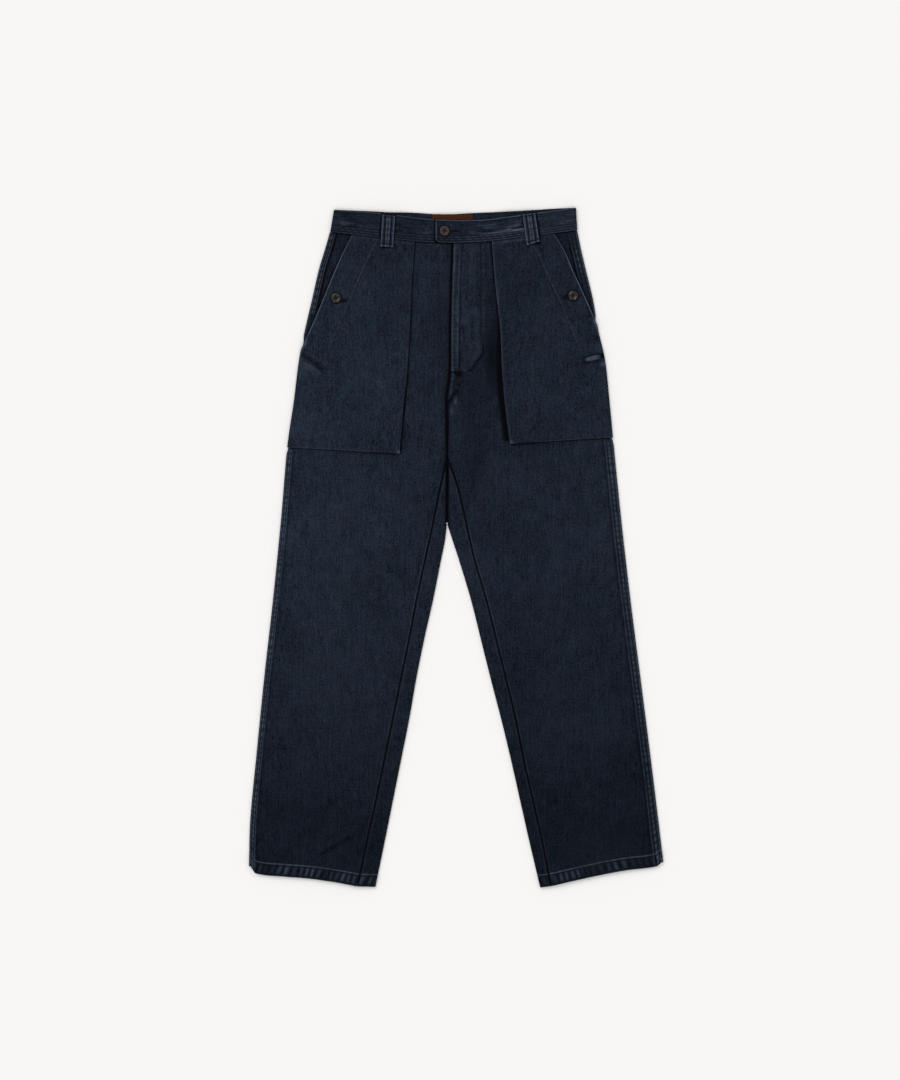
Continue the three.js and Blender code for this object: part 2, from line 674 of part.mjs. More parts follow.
// A patch pocket: rolled inner and lower edges, a free slanted edge, and below that an edge round the side.
function pocketRows(side) {
  const edgeRise = [0, 0.45, 0.85, 1];
  const edgeFlat = [0, 0.6, 1.6, 4.5];
  const edgeTucked = [1, 0, 1, 4.5];
  const shares = [0.2, 0.38, 0.55, 0.72, 0.86];
  const outerTop = bandBottom(side.sign * slant[side.name](POCKET_TOP.slant)) - GAP;
  const footInner = POCKET_FOOT[side.name];
  const footOuter = side.foot;
  const aroundBar = [12, 6, 3, -3, -6, -12].map((above) => BAR.y + above);
  const barRows = side.name === 'left' ? aroundBar : [side.slantEnd - 32];
  const outerRows = [
    ...steps(outerTop, side.slantEnd + 14, 26),
    ...[14, POCKET_CAUGHT, -3, -10].map((above) => side.slantEnd + above),
    ...barRows,
    ...steps(side.slantEnd - 75, footOuter + 12, 26),
    footOuter + 12,
  ];
  const shareDown = (y) => (outerTop - y) / (outerTop - footOuter);
  const body = outerRows.map((y) => ({ down: shareDown(y), rise: 1, offset: 0 }));
  const lip = [2, 1, 0].map((i) => ({ down: 1, rise: edgeRise[i], offset: i }));
  const topInner = bandBottom(side.sign * pocketInner[side.name](POCKET_TOP.inner)) - GAP;

  return [...body, ...lip].map(({ down, rise, offset }) => {
    const innerY = mix(topInner, footInner, down);
    const outerY = mix(outerTop, footOuter, down);
    const innerW = pocketInner[side.name](innerY);
    const wrapW = outline[side.name](outerY) - HALF - FOLD_RADIUS - POCKET_WRAP_INSET;
    const caught = ease((side.slantEnd + POCKET_CAUGHT - outerY) / 14);
    const slantW = Math.min(slant[side.name](outerY), wrapW + WRAP_RADIUS);
    const at = (w) => {
      const share = (w - innerW) / (slantW - innerW);
      const x = side.sign * w;
      const straight = mix(topInner, outerTop, share);
      const follow = (bandBottom(x) - GAP - straight) * (1 - ease(down / 0.2));
      const stand = bulge(side, w, mix(innerY, outerY, share));
      const tucked = ease((stand - 1.5) / 1.5);
      const shift = rise < 1 || down === 1 ? mix(edgeFlat[offset], edgeTucked[offset], tucked) : 0;
      const y = mix(innerY, outerY, share) + follow + shift;
      return { x, y, stand: stand * rise };
    };
    const edge = edgeRise.map((columnRise, i) => {
      const tucked = ease((bulge(side, innerW, innerY) - 1.5) / 1.5);
      const w = innerW + mix(edgeFlat[i], edgeTucked[i], tucked);
      const { x, y, stand } = at(w);
      return [x, y, pocketHeight(side, w, y) + stand * columnRise];
    });
    const field = shares.map((share) => {
      const w = mix(innerW, slantW, share);
      const { x, y, stand } = at(w);
      return [x, y, pocketHeight(side, w, y) + stand];
    });
    const free = [
      { w: slantW - 12, z: SLANT_LIFT * 0.6 },
      { w: slantW - 4, z: SLANT_LIFT },
      { w: slantW, z: SLANT_LIFT * 0.7 },
    ];
    const wrapped = [90, 50, 8].map((degrees) => {
      const angle = THREE.MathUtils.degToRad(degrees);
      const z = HALF + FOLD_RADIUS + WRAP_RADIUS * Math.sin(angle);
      return { w: wrapW + WRAP_RADIUS * Math.cos(angle), z };
    });
    const outerEdge = free.map((place, i) => {
      const w = mix(place.w, wrapped[i].w, caught);
      const { x, y } = at(Math.min(w, slantW));
      const z = mix(pocketHeight(side, place.w, y) + place.z, wrapped[i].z, caught);
      return [side.sign * w, y, z];
    });
    return [...edge, ...field, ...outerEdge];
  });
}

const pockets = { left: pocketRows(SIDES.left), right: pocketRows(SIDES.right) };

// Half of the waistband: its front, the fold at the side and its back, to the middle of the back.
function waistband(side) {
  const heights = [0, 0.1, 0.5, 0.9, 1];
  const start = side.name === 'left' ? TAB_END : -UNDER_TAB_END;
  const reach = BAND / 2 + BAND_FOLD_RADIUS;
  const flat = LOOP_WIDTH / 2 + LOOP_PLATEAU;
  const besideLoop = [-flat - LOOP_RAMP, -flat, flat, flat + LOOP_RAMP];
  const loops = Object.values(BACK_LOOPS);
  const besideLoops = loops.flatMap((x) => besideLoop.map((d) => side.sign * (x + d)));
  const corner = [start, start + 0.8, start + 2.6, start + TAB_ROUND, LAP_START];
  const fine = side.name === 'left' ? corner : [start];
  const arcStart = side.bandEnd - reach;
  const frontPlaces = [
    ...fine,
    ...besideLoops.filter((w) => w > start + TAB_ROUND + 4 && w < arcStart - 8),
    side.name === 'left' ? LAP_START + LAP_RAMP / 2 : 0,
    side.bandEnd - CROWN_RAMP,
    side.bandEnd - 25,
    arcStart,
  ];
  const front = spaced(frontPlaces, 3.5, fine);
  const backEnd = side.sign * middleBack(MIDDLE[0].y) + GAP / 2;
  const plain = [mix(backEnd, arcStart, 0.33), mix(backEnd, arcStart, 0.8)];
  const backLoops = besideLoops.filter((w) => w > backEnd + 4 && w < arcStart - 8);
  const backPlaces = [backEnd, ...backLoops, ...plain, arcStart];
  const back = spaced(backPlaces, 6, [backEnd, arcStart]).reverse();

  const rows = heights.map((share) => {
    const extra = share === 0 || share === 1 ? -BAND_EDGE_THIN : 0;
    const endShift = mix(0, side.bandEndTop - side.bandEnd, share);
    const lean = (w) => w + endShift * ease((w - arcStart + 60) / 60);
    const rounded = (w) => {
      const inCorner = Math.max(TAB_ROUND - (w - start), 0);
      return side.name === 'left' ? TAB_ROUND - Math.sqrt(TAB_ROUND ** 2 - inCorner ** 2) : 0;
    };
    const frontRow = front.map((w) => {
      const x = side.sign * lean(w);
      const y = mix(bandBottom(x) + rounded(w), bandTop(x) - rounded(w) * 0.3, share);
      return [x, y, bandHeight(side, w, y), extra];
    });
    const centre = lean(arcStart);
    const endX = side.sign * lean(side.bandEnd);
    const endY = mix(bandBottom(endX), bandTop(endX), share);
    const turn = [halfPi / 2, 0, -halfPi / 2].map((angle) => [
      side.sign * (centre + BAND_FOLD_RADIUS * Math.cos(angle)),
      endY,
      BAND / 2 + BAND_FOLD_RADIUS * (1 + Math.sin(angle)),
      extra,
    ]);
    const backRow = back.map((w) => {
      const x = side.sign * lean(w);
      const y = mix(bandBackBottom(side, x), bandBackTop(x), share);
      return [x, y, BAND / 2 + loopLift(x, y), extra];
    });
    return [...frontRow, ...turn, ...backRow];
  });
  return new Sheet().add(rows).thicken(BAND);
}

// Places in rising order, without those closer than least to one that stays. Kept ones always stay.
function spaced(places, least, kept) {
  const sorted = [...new Set(places)].sort((a, b) => a - b);
  return sorted.filter((place, i) => {
    if (kept.includes(place)) return true;
    const clear = kept.every((other) => Math.abs(other - place) > least);
    return clear && (i === 0 || place - sorted[i - 1] > least || !kept.includes(sorted[i - 1]));
  });
}

// A belt loop in front, sewn on at the waistband's top edge and under its bottom edge.
function frontLoop({ name, topX, topY, topSlope, footX, footY, footSlope }) {
  const side = SIDES[name];
  const bandShare = 0.86;
  const rows = [0, 0.06, 0.2, 0.4, 0.6, 0.78, bandShare, 1].map((share) => {
    const slope = mix(topSlope, footSlope, share);
    const acrosses = [-0.5, 0, 0.5].map((across) => across * LOOP_WIDTH);
    const centre = { x: mix(topX, footX, share), y: mix(topY, footY, share) };
    const w = side.sign * centre.x;
    const onBand = bandHeight(side, w, centre.y) + BAND / 2;
    const onPocket = pocketHeight(side, w, centre.y) + bulge(side, w, centre.y) + HALF;
    const seat = Math.max(onBand, onPocket);
    const foot = mix(seat, onPocket, ease((share - bandShare) / (1 - bandShare)));
    const bow = LOOP_BOW * Math.sin(Math.PI * Math.min(share / bandShare, 1));
    return acrosses.map((across) => {
      const y = centre.y + slope * across;
      return [centre.x + across, y, foot + GAP + LOOP_THICK / 2 + bow];
    });
  });
  return new Sheet().add(rows).thicken(LOOP_THICK);
}

// A belt loop under the back, flat on the table.
function backLoop(x) {
  const side = x < 0 ? SIDES.right : SIDES.left;
  const rows = [0, 0.25, 0.5, 0.75, 1].map((share) => {
    return [-0.5, 0, 0.5].map((across) => {
      const place = x + across * LOOP_WIDTH;
      const bottom = bandBackBottom(side, place) - LOOP_BELOW_BAND;
      return [place, mix(bandBackTop(place), bottom, share), LOOP_THICK / 2];
    });
  });
  return new Sheet().add(rows).thicken(LOOP_THICK);
}

// The bare label on the inner face of the waistband's back.
function waistLabel() {
  const rows = [0, 0.5, 1].map((down) => {
    return [0, 0.2, 0.37, 0.53, 0.7, 0.85, 1].map((share) => {
      const x = mix(LABEL.left, LABEL.right, share);
      const y = LABEL.top - down * LABEL.height;
      return [x, y, BAND + GAP + LABEL.thick / 2 + loopLift(x, y)];
    });
  });
  return new Sheet().add(rows).thicken(LABEL.thick);
}

const { Manifold, Mesh: ManifoldMesh } = await loadManifold();

async function loadManifold() {
  const wasm = await Module();
  wasm.setup();
  return wasm;
}

// A closed solid from a geometry whose faces share their corners.
function solid(geometry) {
  const bare = geometry.clone();
  bare.deleteAttribute('normal');
  bare.deleteAttribute('uv');
  const merged = mergeVertices(bare, 1e-4);
  const corners = [...merged.index.array];
  const faces = [];
  for (let i = 0; i < corners.length; i += 3) {
    const [a, b, c] = corners.slice(i, i + 3);
    if (a !== b && b !== c && c !== a) faces.push(a, b, c);
  }
  const vertProperties = new Float32Array(merged.attributes.position.array);
  return new Manifold(new ManifoldMesh({ numProp: 3, vertProperties, triVerts: new Uint32Array(faces) }));
}

function geometryOf(manifold) {
  const mesh = manifold.getMesh();
  const geometry = new THREE.BufferGeometry();
  geometry.setAttribute('position', new THREE.BufferAttribute(mesh.vertProperties, 3));
  geometry.setIndex(new THREE.BufferAttribute(mesh.triVerts, 1));
  return geometry;
}

// A four-hole button, flat below, with a rounded rim round a shallow dish.
function buttonGeometry() {
  const { radius, thick, rim, dish, hole, holeOffset } = BUTTON;
  const profile = [
    [0, 0],
    [radius - 1.2, 0],
    [radius - 0.2, 0.8],
    [radius, thick * 0.6],
    [radius - 0.6, thick - 0.3],
    [radius - 1.3, thick],
    [radius - rim, thick - 0.2],
    [radius - rim - 1.4, thick - dish],
    [0, thick - dish],
  ].map(([r, height]) => new THREE.Vector2(r, height));
  const lathe = new THREE.LatheGeometry(profile, 28).rotateX(halfPi);
  const body = [1, -1].flatMap((sx) => [1, -1].map((sy) => [sx * holeOffset, sy * holeOffset])).reduce(
    (rest, [x, y]) => {
      const drill = new THREE.CylinderGeometry(hole, hole, thick * 3, 10).rotateX(halfPi).translate(x, y, 0);
      return rest.subtract(solid(drill));
    },
    solid(lathe),
  );
  return geometryOf(body);
}

// Height of what carries a button: the highest cloth under its rim.
function buttonSeat({ name, x, y }) {
  const rim = steps(0, 2 * Math.PI, Math.PI / 6).map((angle) => [Math.cos(angle), Math.sin(angle)]);
  const under = rim.map(([dx, dy]) => [x + dx * BUTTON.radius, y + dy * BUTTON.radius]);
  if (name === 'button_waist') {
    return Math.max(...under.map(([px, py]) => bandHeight(SIDES.left, px, py))) + BAND / 2;
  }
  const rows = pockets[x > 0 ? 'left' : 'right'];
  return Math.max(...under.map(([px, py]) => heightOn(rows, px, py))) + HALF;
}

function piece(name, geometry, material) {
  const mesh = new THREE.Mesh(geometry, material);
  mesh.name = name;
  return mesh;
}

const trousers = new THREE.Group();
for (const side of Object.values(SIDES)) {
  trousers.add(
    piece(`back_${side.name}`, backPanel(side), NAVY),
    piece(`front_${side.name}`, new Sheet().add(fronts[side.name]).thicken(CLOTH), NAVY),
    piece(`pocket_${side.name}`, new Sheet().add(pockets[side.name]).thicken(CLOTH), NAVY),
    piece(`waistband_${side.name}`, waistband(side), NAVY_EDGE),
  );
}
trousers.add(piece('fly_shield', flyShield(), NAVY), piece('waist_label', waistLabel(), LABEL_BROWN));
for (const loop of FRONT_LOOPS) {
  trousers.add(piece(`belt_loop_front_${loop.name}`, frontLoop(loop), NAVY_EDGE));
}
for (const [name, x] of Object.entries(BACK_LOOPS)) {
  trousers.add(piece(`belt_loop_back_${name}`, backLoop(x), NAVY_EDGE));
}
const buttonShape = buttonGeometry();
for (const button of BUTTONS) {
  const mesh = piece(button.name, buttonShape, HORN);
  mesh.position.set(button.x, button.y, buttonSeat(button) + GAP);
  mesh.rotation.z = button.turn;
  trousers.add(mesh);
}

export default trousers;
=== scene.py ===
import math

import bpy
import numpy as np
from mathutils.bvhtree import BVHTree
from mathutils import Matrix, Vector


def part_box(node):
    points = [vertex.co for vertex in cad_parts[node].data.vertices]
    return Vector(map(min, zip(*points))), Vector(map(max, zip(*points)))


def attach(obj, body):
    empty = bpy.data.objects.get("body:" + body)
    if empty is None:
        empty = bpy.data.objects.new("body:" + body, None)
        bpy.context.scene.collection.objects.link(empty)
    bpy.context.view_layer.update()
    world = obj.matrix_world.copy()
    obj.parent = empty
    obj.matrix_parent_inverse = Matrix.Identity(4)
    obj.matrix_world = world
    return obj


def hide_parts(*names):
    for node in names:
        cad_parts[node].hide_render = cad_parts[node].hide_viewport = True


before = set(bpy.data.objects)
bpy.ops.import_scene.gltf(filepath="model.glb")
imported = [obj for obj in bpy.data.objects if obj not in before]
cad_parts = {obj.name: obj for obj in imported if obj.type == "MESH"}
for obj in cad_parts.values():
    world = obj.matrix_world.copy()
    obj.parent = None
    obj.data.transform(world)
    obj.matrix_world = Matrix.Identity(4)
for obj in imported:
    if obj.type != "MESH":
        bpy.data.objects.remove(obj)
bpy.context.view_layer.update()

MM = 0.001

# Cloth and seams
CLOTH = 1.2
HALF = CLOTH / 2
GAP = 0.3
VALLEY_GAP = 0.8
FOLD_RADIUS = 1.1
EDGE_BACK = 3
HEM_TURN = 19
HEM_EXTRA = 0.8
HEM_STEP = 1.4
FELL_EXTRA = 0.6
FELL_STEP = 1.5
FELL_COVERED = 50

# Heights of the layers, to the middle of each wall
FRONT_REST = HALF + 2 * FOLD_RADIUS
CROWN = 1.1
CROWN_RAMP = 60
VALLEY_RAMP = 30
VALLEY_LEDGE = 1.5
RIDGE_CLIMB = 6.5
RIDGE_FALL = 35
LAYER = CLOTH + GAP

# Waistband, tab and label
BAND = 2.4
BAND_HEIGHT = 37
BAND_FOLD_RADIUS = 1.65
BAND_REST = BAND / 2 + 2 * BAND_FOLD_RADIUS
BAND_CROWN = 0.6
TAB_END = -33.4
TAB_ROUND = 7.5
UNDER_TAB_END = 20
LAP_START = 24
LAP_RAMP = 22
LAP_TUCK = 1.6
TUCK_RAMP = 25
WAIST_FOLLOW = 120
LABEL = {"left": -39.2, "right": 26.4, "top": 532.3, "height": 26, "thick": 0.6}

# Belt loops
LOOP_THICK = 1.6
LOOP_WIDTH = 20.5
LOOP_LENGTH = 48
LOOP_BELOW_BAND = 11
LOOP_BOW = 1.2
LOOP_LIFT = LOOP_THICK + GAP
LOOP_PLATEAU = 6
LOOP_RAMP = 26
BACK_LOOPS = {"left": 98, "centre": -5, "right": -108}

# Fly
FLY_FOOT = 232
FLY_CORNER = {"x": 41, "y": 283, "radius": 28, "ramp": 8}
FLY_SLOPE = {"x": 39.5, "y": 308, "turn": -33.4}
UNDERLAP = 3
UNDERLAP_ABOVE = 22
SHIELD_INSET = 3
SHIELD_SLACK = 0.1
SHIELD_BELOW_CORNER = 2
SHIELD_FOLLOW = 60
SEAM_LAP = {"height": 0.8, "ramp_up": 20, "width": 12}

# Pockets
POCKET_TOP = {"inner": 488, "slant": 504}
POCKET_LAYER = 1.6
POCKET_CAUGHT = 4
POCKET_WRAP_INSET = 1.8
WRAP_RADIUS = FOLD_RADIUS + POCKET_WRAP_INSET
BULGE_REACH = 120
SLANT_LIFT = 0.8
BAR = {"x": 220.6, "y": 303.2, "length": 33, "height": 9, "slope": 0.236, "rise": 1.4, "soft": 3}

# The legs part at SPLIT, and the inseams start at CROTCH, higher up on the front.
SPLIT = 37.6
CROTCH = 148
CROTCH_RAMP = 300
VALLEY_FOOT = 26
STRIP_TIP = 3.5
HEM_FOLLOW = 150
INSEAM_SHARE = 0.93


class Side:
    """One leg, and what lies at its own heights."""

    def __init__(self, name, sign, fell, hem, band_end, band_end_top, slant_end, foot, pocket_foot):
        self.name = name
        self.sign = sign
        self.fell = fell
        self.hem = hem
        self.band_end = band_end
        self.band_end_top = band_end_top
        self.slant_end = slant_end
        self.foot = foot
        self.pocket_foot = pocket_foot


LEFT = Side(
    "left", 1,
    fell=11, hem=-503.2, band_end=193.2, band_end_top=191, slant_end=356, foot=176, pocket_foot=166,
)
RIGHT = Side(
    "right", -1,
    fell=6, hem=-509.6, band_end=202, band_end_top=196, slant_end=322, foot=160, pocket_foot=150.4,
)
SIDES = (LEFT, RIGHT)


class Table:
    """Rows of numbers with named columns."""

    def __init__(self, columns, rows):
        self.columns = columns
        self.rows = np.array(rows, float)

    def __getitem__(self, column):
        return self.rows[:, self.columns.index(column)]

    def each(self):
        return [dict(zip(self.columns, row)) for row in self.rows]


# Columns that several tables have
BY_SIDE = ("y", "left", "right")
LINE = ("x0", "y0", "x1", "y1", "width", "height")
MARK = ("off", "width", "wear", "swell", "shade")
SPOT = ("x", "y", "wide", "tall", "wear", "shade")

# Outer edge of each leg
OUTLINE = Table(BY_SIDE, [
    (506, 193.2, 202),
    (476, 199.2, 210.4),
    (444, 206.7, 220),
    (396, 218.4, 231.2),
    (348, 226.7, 242.4),
    (300, 237.6, 252),
    (236, 244.5, 260),
    (164, 251.4, 270.4),
    (44, 263.5, 280.8),
    (-84, 278.2, 293.6),
    (-212, 294.6, 308),
    (-340, 310.9, 320.8),
    (-436, 322.7, 329.9),
    (-510, 331.5, 332),
])

# Inner edge of each leg, from where the legs part
INNER = Table(BY_SIDE, [
    (37.6, -14.8, 15.6),
    (12, -6.5, 18.4),
    (-20, 4, 24.8),
    (-84, 23.2, 37.6),
    (-148, 39.2, 52),
    (-212, 55.2, 64.8),
    (-276, 71.8, 76),
    (-340, 87.2, 88.8),
    (-404, 101.6, 101.6),
    (-468, 116, 114.4),
    (-543, 133.6, 129.8),
])

# Inseam, between the front panel and the strip of the back panel that turns to the front
INSEAM = Table(BY_SIDE, [
    (148, -15.2, 15.2),
    (103, 0.3, 24.6),
    (45, 14.5, 36.5),
    (-20, 29.5, 50.7),
    (-84, 48.2, 64.4),
    (-148, 64.2, 76.5),
    (-212, 80, 89.7),
    (-276, 95.2, 102.5),
    (-340, 107.9, 115.7),
    (-404, 122.5, 129),
    (-468, 137.1, 143.2),
    (-540, 151, 158),
])

# Middle seams, as x: the back one, and the fly's edge with the crotch seam under it
MIDDLE = Table(("y", "back", "front"), [
    (506, -5, -4.2),
    (420, -6.5, -7.2),
    (348, -8, -8.8),
    (290, -9.5, -9),
    (268, -10.5, -10.4),
    (249, -11, -13.4),
    (232, -12, -15.6),
    (200, -13, -15.2),
    (148, -14.4, -15.2),
    (37.6, -15.2, -15.2),
])

# Edges of the waistband, as y
BAND_EDGES = Table(("x", "top", "bottom", "back_top"), [
    (-202, 540.2, 504.6, 540.4),
    (-142, 536, 497.6, 537.9),
    (-110, 532.8, 493.6, 536),
    (-66, 527.2, 489.4, 535.2),
    (-33, 524, 487.4, 533),
    (-3, 522.4, 486.4, 533),
    (38, 523.4, 488.6, 535.4),
    (70, 526.7, 491.5, 536.6),
    (119, 533.4, 497.6, 539.2),
    (150, 537.6, 501.5, 541.4),
    (193, 543.5, 507.2, 543.5),
])

# Lower edge of each leg: how far it hangs under its outer corner, by share of the way inward
HEM_DROP = Table(("share", "left", "right"), [
    (0, 0, 0),
    (0.04, 6.4, 11),
    (0.3, 12.8, 16.5),
    (0.5, 19.8, 19.4),
    (0.75, 30, 25.8),
    (0.93, 38, 32),
    (1, 40, 32.8),
])

# Puffed cloth beside the valley between the thighs
THIGH_RIDGE = Table(("y", "height"), [
    (232, 0),
    (190, 1.2),
    (120, 2.3),
    (37, 2.5),
    (-20, 1.2),
    (-80, 0),
])

# Inner edge and slanted opening of each pocket
POCKET_INNER = Table(BY_SIDE, [
    (488, 56.8, 67.2),
    (420, 62.4, 71.8),
    (348, 70.2, 75),
    (294, 72.5, 78.2),
    (260, 75, 80.8),
    (222, 78.6, 85.2),
    (150, 88.2, 91.2),
])
SLANT = Table(BY_SIDE, [
    (504, 154.6, 164.4),
    (470, 173.9, 181.5),
    (440, 187.3, 195.4),
    (413, 199.9, 206.7),
    (384, 212.9, 218.5),
    (356, 224.8, 230.6),
    (322, 239.6, 245.6),
])

# How far each pocket's inner edge stands off the front
BULGE = Table(BY_SIDE, [
    (488, 0.4, 0.4),
    (420, 1, 0.9),
    (348, 1.9, 1.4),
    (281, 2.8, 1.9),
    (222, 3.4, 2.4),
    (150, 3.2, 2.6),
])

# Largest creases: a soft trough (negative) or ridge from one end to the other
CREASES = Table(LINE, [
    (-33, 418, -33, 322, 26, -0.5),
    (-50, 266, -12, 277, 14, 0.8),
    (-226, -494, -166, -459, 22, 1.3),
    (250, -300, 214, -330, 40, 0.6),
    (-214, -122, -176, -150, 44, 0.6),
    (62, 120, 118, 132, 24, 0.7),
    (24, 214, 52, 176, 16, -0.5),
    (170, -60, 132, -128, 34, -0.5),
    (-120, 60, -104, -30, 30, -0.5),
    (-262, -240, -226, -262, 26, 0.5),
    (280, -430, 232, -452, 24, 0.6),
])
POCKET_CREASES = Table(LINE, [
    (116, 400, 114, 190, 30, -0.8),
    (-249, 308, -210, 271, 22, 0.9),
    (-128, 470, -200, 320, 16, 0.5),
    (-246, 309, -212, 283, 10, -0.7),
    (204, 236, 160, 214, 26, 0.5),
    (-170, 230, -120, 206, 22, -0.4),
])
# Under the legs they are raised off the table, and none reaches the waist or a hem.
BACK_CREASES = Table(LINE, [
    (170, 300, 120, 262, 34, 0.7),
    (-180, 250, -96, 214, 38, 0.8),
    (150, 60, 206, 22, 30, 0.7),
    (-196, -96, -130, -60, 34, 0.7),
    (232, -240, 170, -262, 28, 0.6),
    (-262, -330, -200, -306, 30, 0.6),
])

# Broad places where the cloth is a little paler or darker; the darker ones right of the fly and beside the
# wearer's left pocket are painted shade
TONES = Table(SPOT, [
    (26, 230, 32, 110, 0, 0.34),
    (-106, 380, 22, 60, 0, 0.1),
    (-28, 385, 14, 50, 0, 0.3),
    (-40, 130, 26, 90, 0, 0.1),
    (24, 116, 26, 56, 0, 0.28),
    (-36, 300, 24, 70, 0, 0.16),
    (55, 306, 9, 40, 0, 0.42),
    (6, 290, 16, 30, 0, 0.2),
    (-40, 20, 30, 60, 0, 0.1),
    (248, 292, 10, 22, 0.08, 0),
    (236, -500, 70, 24, 0.03, 0),
    (-90, 100, 16, 60, 0, 0.12),
    (232, 250, 14, 40, 0.04, 0),
    (-210, -440, 60, 30, 0, 0.08),
    (250, 312, 9, 20, 0.04, 0),
    (-200, -20, 60, 120, 0.035, 0),
    (-205, -190, 50, 70, 0.03, 0),
    (-288, -340, 34, 120, 0, 0.22),
    (290, -330, 40, 150, 0, 0.2),
    (110, -250, 30, 110, 0, 0.18),
    (-120, -350, 34, 70, 0, 0.14),
    (230, 20, 26, 90, 0.03, 0),
    (-226, 200, 44, 40, 0.03, 0),
    (150, 110, 60, 40, 0.015, 0),
    (-64, 60, 30, 40, 0, 0.12),
])

# Small worn and dark places of single pieces
SPOTS = {
    "fly": Table(SPOT, [
        (-1.9, 234.4, 2.6, 4.16, 0.7, 0),
        (-8, 218, 2.6, 4.68, 0.3, 0),
    ]),
    "left": Table(SPOT, [
        (204, 297, 4, 4, 0, 0.6),
        (212, 326, 15, 21, 0, 0.2),
        (235, 293, 4.5, 3, 0.4, 0),
        (228, 318, 7, 7, 0.14, 0),
    ]),
    "right": Table(SPOT, [
        (-246, 280, 8, 16, 0.14, 0),
    ]),
    "tab": Table(SPOT, [
        (-7.4, 507, 1.4, 1.4, 0.4, 0),
    ]),
}

# Thin folds: where each starts, the direction that it runs in, and its length
HEM_FOLD = {"x": -226, "y": -494, "run": (0.864, 0.504), "length": 72}
CRUMPLE = {"x": -246, "y": 309, "run": (0.788, -0.616), "length": 48}
CROTCH_FOLD = {"x": -15.2, "y": 228, "run": (0.57, 0.82)}

# The worn lens on the bar at the foot of the wearer's left opening, and where it turns dark
LENS = {"x": 218, "half": 15.5, "dark_from": 229}

# Slanted swells in the hems, worn on their crests, with painted shade between them
ROPING = {"pitch": 10.4, "lean": 0.35, "waver": 4, "wear": 0.6, "shade": 0.55, "rise": 0.4}

# Part of the wearer's left side seam, as y, along which it is worn pale above the pocket's foot
WORN_FELL = {"low": 418, "low_soft": 26, "high": 494, "high_soft": 24, "elsewhere": 0.25}

# Marks along the seams, at distances from an edge: worn ridges, swells along them, dark lines along the
# stitching, and painted shade in the grooves between ridges and at the edges.
# wear and shade are steady shares, swell is a share that comes and goes along the seam.
FELL_MARKS = {
    "left": Table(MARK, [
        (0.2, 0.7, 0.2, 0.15, 0),
        (1.9, 0.7, 0, 0, 0.5),
        (4.8, 1.5, 0, 0.62, 0),
        (8.0, 0.8, 0, 0, 0.55),
        (10.3, 0.7, 0.22, 0.25, 0),
        (13.4, 1.8, 0, 0, 0.5),
    ]),
    "right": Table(MARK, [
        (0.2, 0.6, 0, 0, 0.35),
        (2.4, 1.1, 0.04, 0.92, 0),
        (3.9, 0.6, 0, 0, 0.6),
        (5.4, 0.8, 0.28, 0.2, 0),
        (8.4, 1.8, 0, 0, 0.4),
    ]),
}
HEM_MARKS = Table(MARK, [
    (0.3, 0.7, 0.25, 0.2, 0),
    (2.6, 0.7, 0, 0, 0.5),
    (17.6, 0.8, 0, 0, 0.6),
    (19.2, 0.7, 0.5, 0.36, 0),
    (22, 1.6, 0, 0, 0.22),
])
FLY_MARKS = Table(MARK, [
    (0, 0.7, 0, 0, 0.6),
    (1.9, 1.0, 0.3, 0.12, 0),
    (6.4, 2.2, 0, 0.1, 0),
    (11, 1.0, 0.14, 0.12, 0),
    (13.4, 1.2, 0, 0, 0.62),
])
BAND_MARKS = Table(MARK, [
    (0.7, 0.8, 0.3, 0.35, 0),
    (2.9, 0.7, 0, 0, 0.7),
    (4.9, 1.0, 0.05, 0.45, 0),
    (6.9, 0.7, 0, 0, 0.7),
    (8.9, 1.0, 0.1, 0.4, 0),
    (11, 0.6, 0, 0, 0.65),
    (36.3, 0.9, 0.75, 0.1, 0),
    (34, 0.7, 0, 0, 0.65),
])
LOOP_MARKS = Table(MARK, [
    (0, 0.8, 0, 0, 0.25),
    (2.1, 1.1, 0.3, 0.6, 0),
    (4.6, 1.0, 0, 0, 0.95),
    (9, 1.1, 0.5, 0.25, 0),
])

# Width of the painted shadow beside each pocket's inner edge
BESIDE_POCKET = Table(BY_SIDE, [
    (488, 2.4, 0.7),
    (440, 2.2, 0.8),
    (396, 1.5, 0.9),
    (316, 4.8, 1.4),
    (236, 7.2, 1.9),
    (170, 7.8, 2),
])

# How far a pocket's facing reaches in from its slanted edge
FACING = 46

# Rows of a leg: how far apart, and those below its top edge and above its hem
FRONT_STEP = 2.7
BACK_STEP = 3.4
TOP_ROWS = np.array([0, 0.7, 1.4, 2.4, 3.8])
HEM_ROWS = np.array([
    20.4, 19.9, 19.4, 18.9, 18.3, 17.7, 16.9, 15.6, 14, 12, 10, 8, 6.2, 4.6, 3.4, 2.6, 1.8, 1, 0.4, 0,
])

# Columns of a front panel: inward from its outer edge, and outward from its inner edge
OUTER_COLUMNS = np.array([
    0, 0.6, 1.2, 1.9, 2.6, 3.4, 4.1, 4.9, 5.7, 6.5, 7.3, 8, 8.7, 9.5, 10.2, 10.8, 11.5, 12.3, 13.2, 14.3,
    15.6, 17.5, 20, 23, 26.5, 30, 34, 38, 42,
])
INNER_COLUMNS = np.array([
    55, 51, 48.5, 46.5, 45, 43.5, 41.5, 39, 36, 32.5, 29, 26, 23, 20, 17.5, 15.2, 13.5, 12.2, 11.2, 10.2, 9.3,
    8.2, 7, 5.8, 4.7, 3.6, 2.7, 1.9, 1.2, 0.6, 0,
])

# Belt loops in front: their upper and lower ends
FRONT_LOOPS = Table(("top_x", "top_y", "top_slope", "foot_x", "foot_y", "foot_slope"), [
    (115.5, 532.6, 0.1, 122.2, 485.7, 0.3),
    (-108.1, 530.3, -0.12, -111.3, 480.2, -0.08),
])

